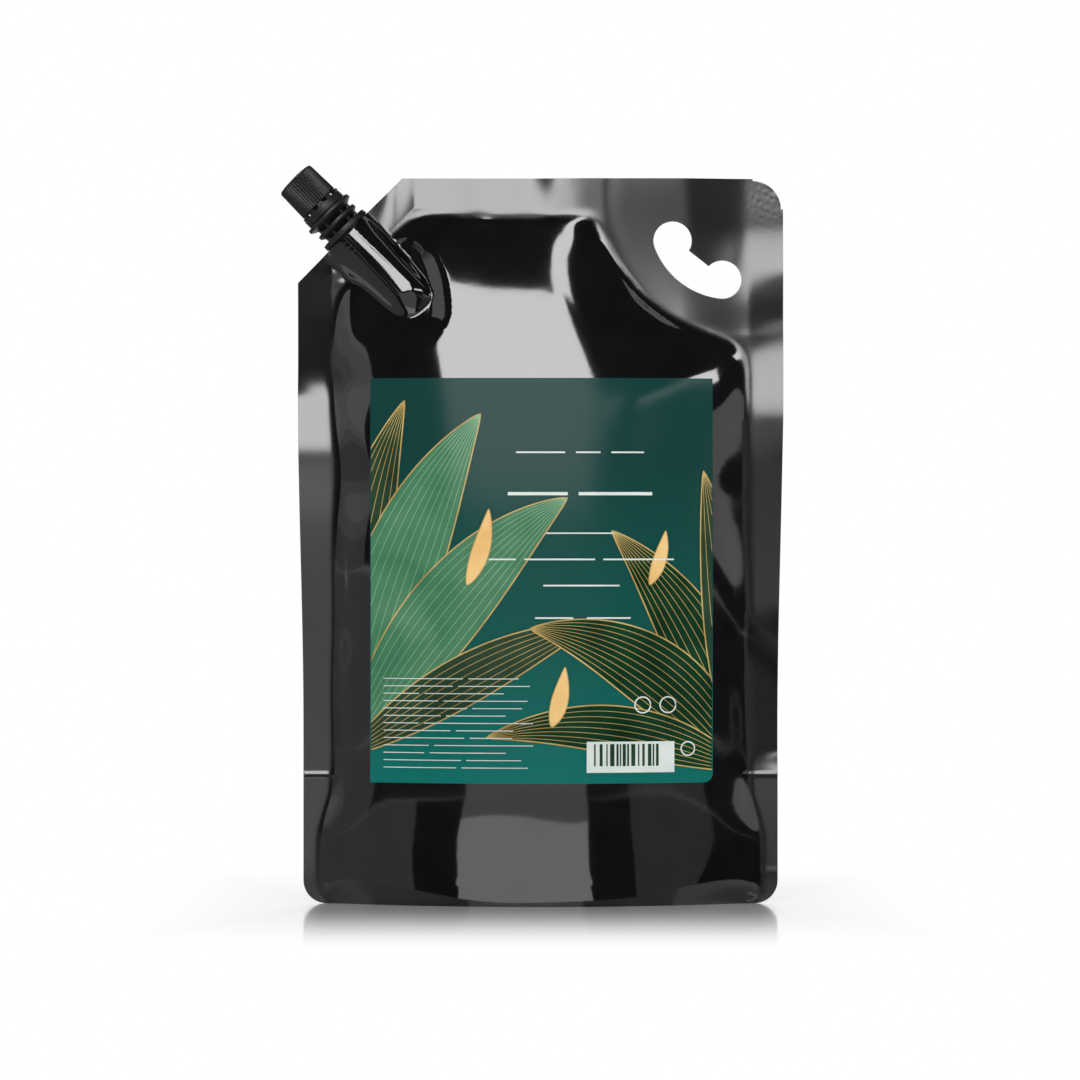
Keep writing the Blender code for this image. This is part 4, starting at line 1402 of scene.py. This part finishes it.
def white_world():
    """White for the camera and the gloss, softer as a fill for matt surfaces."""
    world = bpy.data.worlds.new("white_studio")
    bpy.context.scene.world = world
    world.use_nodes = True
    tree = world.node_tree
    rays = add_node(tree, "LightPath")
    seen = add_node(tree, "Math")
    seen.operation = "MAXIMUM"
    glass = add_node(tree, "Math")
    glass.operation = "MAXIMUM"
    level = add_node(tree, "MapRange", {"To Min": WORLD_FILL, "To Max": 1.0})
    tree.links.new(rays.outputs["Is Camera Ray"], seen.inputs[0])
    tree.links.new(rays.outputs["Is Glossy Ray"], seen.inputs[1])
    tree.links.new(seen.outputs["Value"], glass.inputs[0])
    tree.links.new(rays.outputs["Is Transmission Ray"], glass.inputs[1])
    tree.links.new(glass.outputs["Value"], level.inputs["Value"])
    tree.links.new(level.outputs["Result"], tree.nodes["Background"].inputs["Strength"])
    tree.nodes["Background"].inputs["Color"].default_value = (1.0, 1.0, 1.0, 1.0)


white_world()

FLOOR_HALF = 2.4
# axis, where the floor begins to fade, where it is plain white
FLOOR_FADES = (("X", 0.088, 0.15), ("Y", 0.03, 0.25))


def white_floor():
    """A pale floor that keeps the shadow near the pack and turns plain white further out."""
    mesh = bpy.data.meshes.new("floor")
    h = FLOOR_HALF
    mesh.from_pydata([(-h, -h, 0.0), (h, -h, 0.0), (h, h, 0.0), (-h, h, 0.0)], [], [(0, 1, 2, 3)])
    floor = bpy.data.objects.new("floor", mesh)
    bpy.context.scene.collection.objects.link(floor)
    material, tree, shader = shader_of("white_floor")
    shader.inputs["Base Color"].default_value = (0.93, 0.93, 0.94, 1.0)
    shader.inputs["Roughness"].default_value = 0.1
    shader.inputs["Specular IOR Level"].default_value = 0.4
    plain = add_node(tree, "Emission", {"Strength": 1.0})
    place = add_node(tree, "TexCoord")
    parts = add_node(tree, "SeparateXYZ")
    either = add_node(tree, "Math")
    either.operation = "MAXIMUM"
    tree.links.new(place.outputs["Object"], parts.inputs["Vector"])
    for k, (axis, near, far) in enumerate(FLOOR_FADES):
        size = add_node(tree, "Math")
        size.operation = "ABSOLUTE"
        spread = add_node(tree, "MapRange", {"From Min": near, "From Max": far})
        spread.interpolation_type = "SMOOTHSTEP"
        tree.links.new(parts.outputs[axis], size.inputs[0])
        tree.links.new(size.outputs["Value"], spread.inputs["Value"])
        tree.links.new(spread.outputs["Result"], either.inputs[k])
    mix = add_node(tree, "MixShader")
    tree.links.new(either.outputs["Value"], mix.inputs["Fac"])
    tree.links.new(shader.outputs["BSDF"], mix.inputs[1])
    tree.links.new(plain.outputs["Emission"], mix.inputs[2])
    tree.links.new(mix.outputs["Shader"], tree.nodes["Material Output"].inputs["Surface"])
    mesh.materials.append(material)


white_floor()

# %% The camera
CAMERA_DISTANCE = 2.2
FIELD = 0.4
CAMERA_HEIGHT = 0.1345
CAMERA_ASIDE = -0.0002

lens = bpy.data.cameras.new("camera")
lens.lens = lens.sensor_width * CAMERA_DISTANCE / FIELD
camera = bpy.data.objects.new("camera", lens)
camera.location = (CAMERA_ASIDE, -CAMERA_DISTANCE, CAMERA_HEIGHT)
camera.rotation_euler = (math.radians(90.0), 0.0, 0.0)
bpy.context.scene.collection.objects.link(camera)
bpy.context.scene.camera = camera
bpy.context.scene.view_settings.view_transform = "Standard"
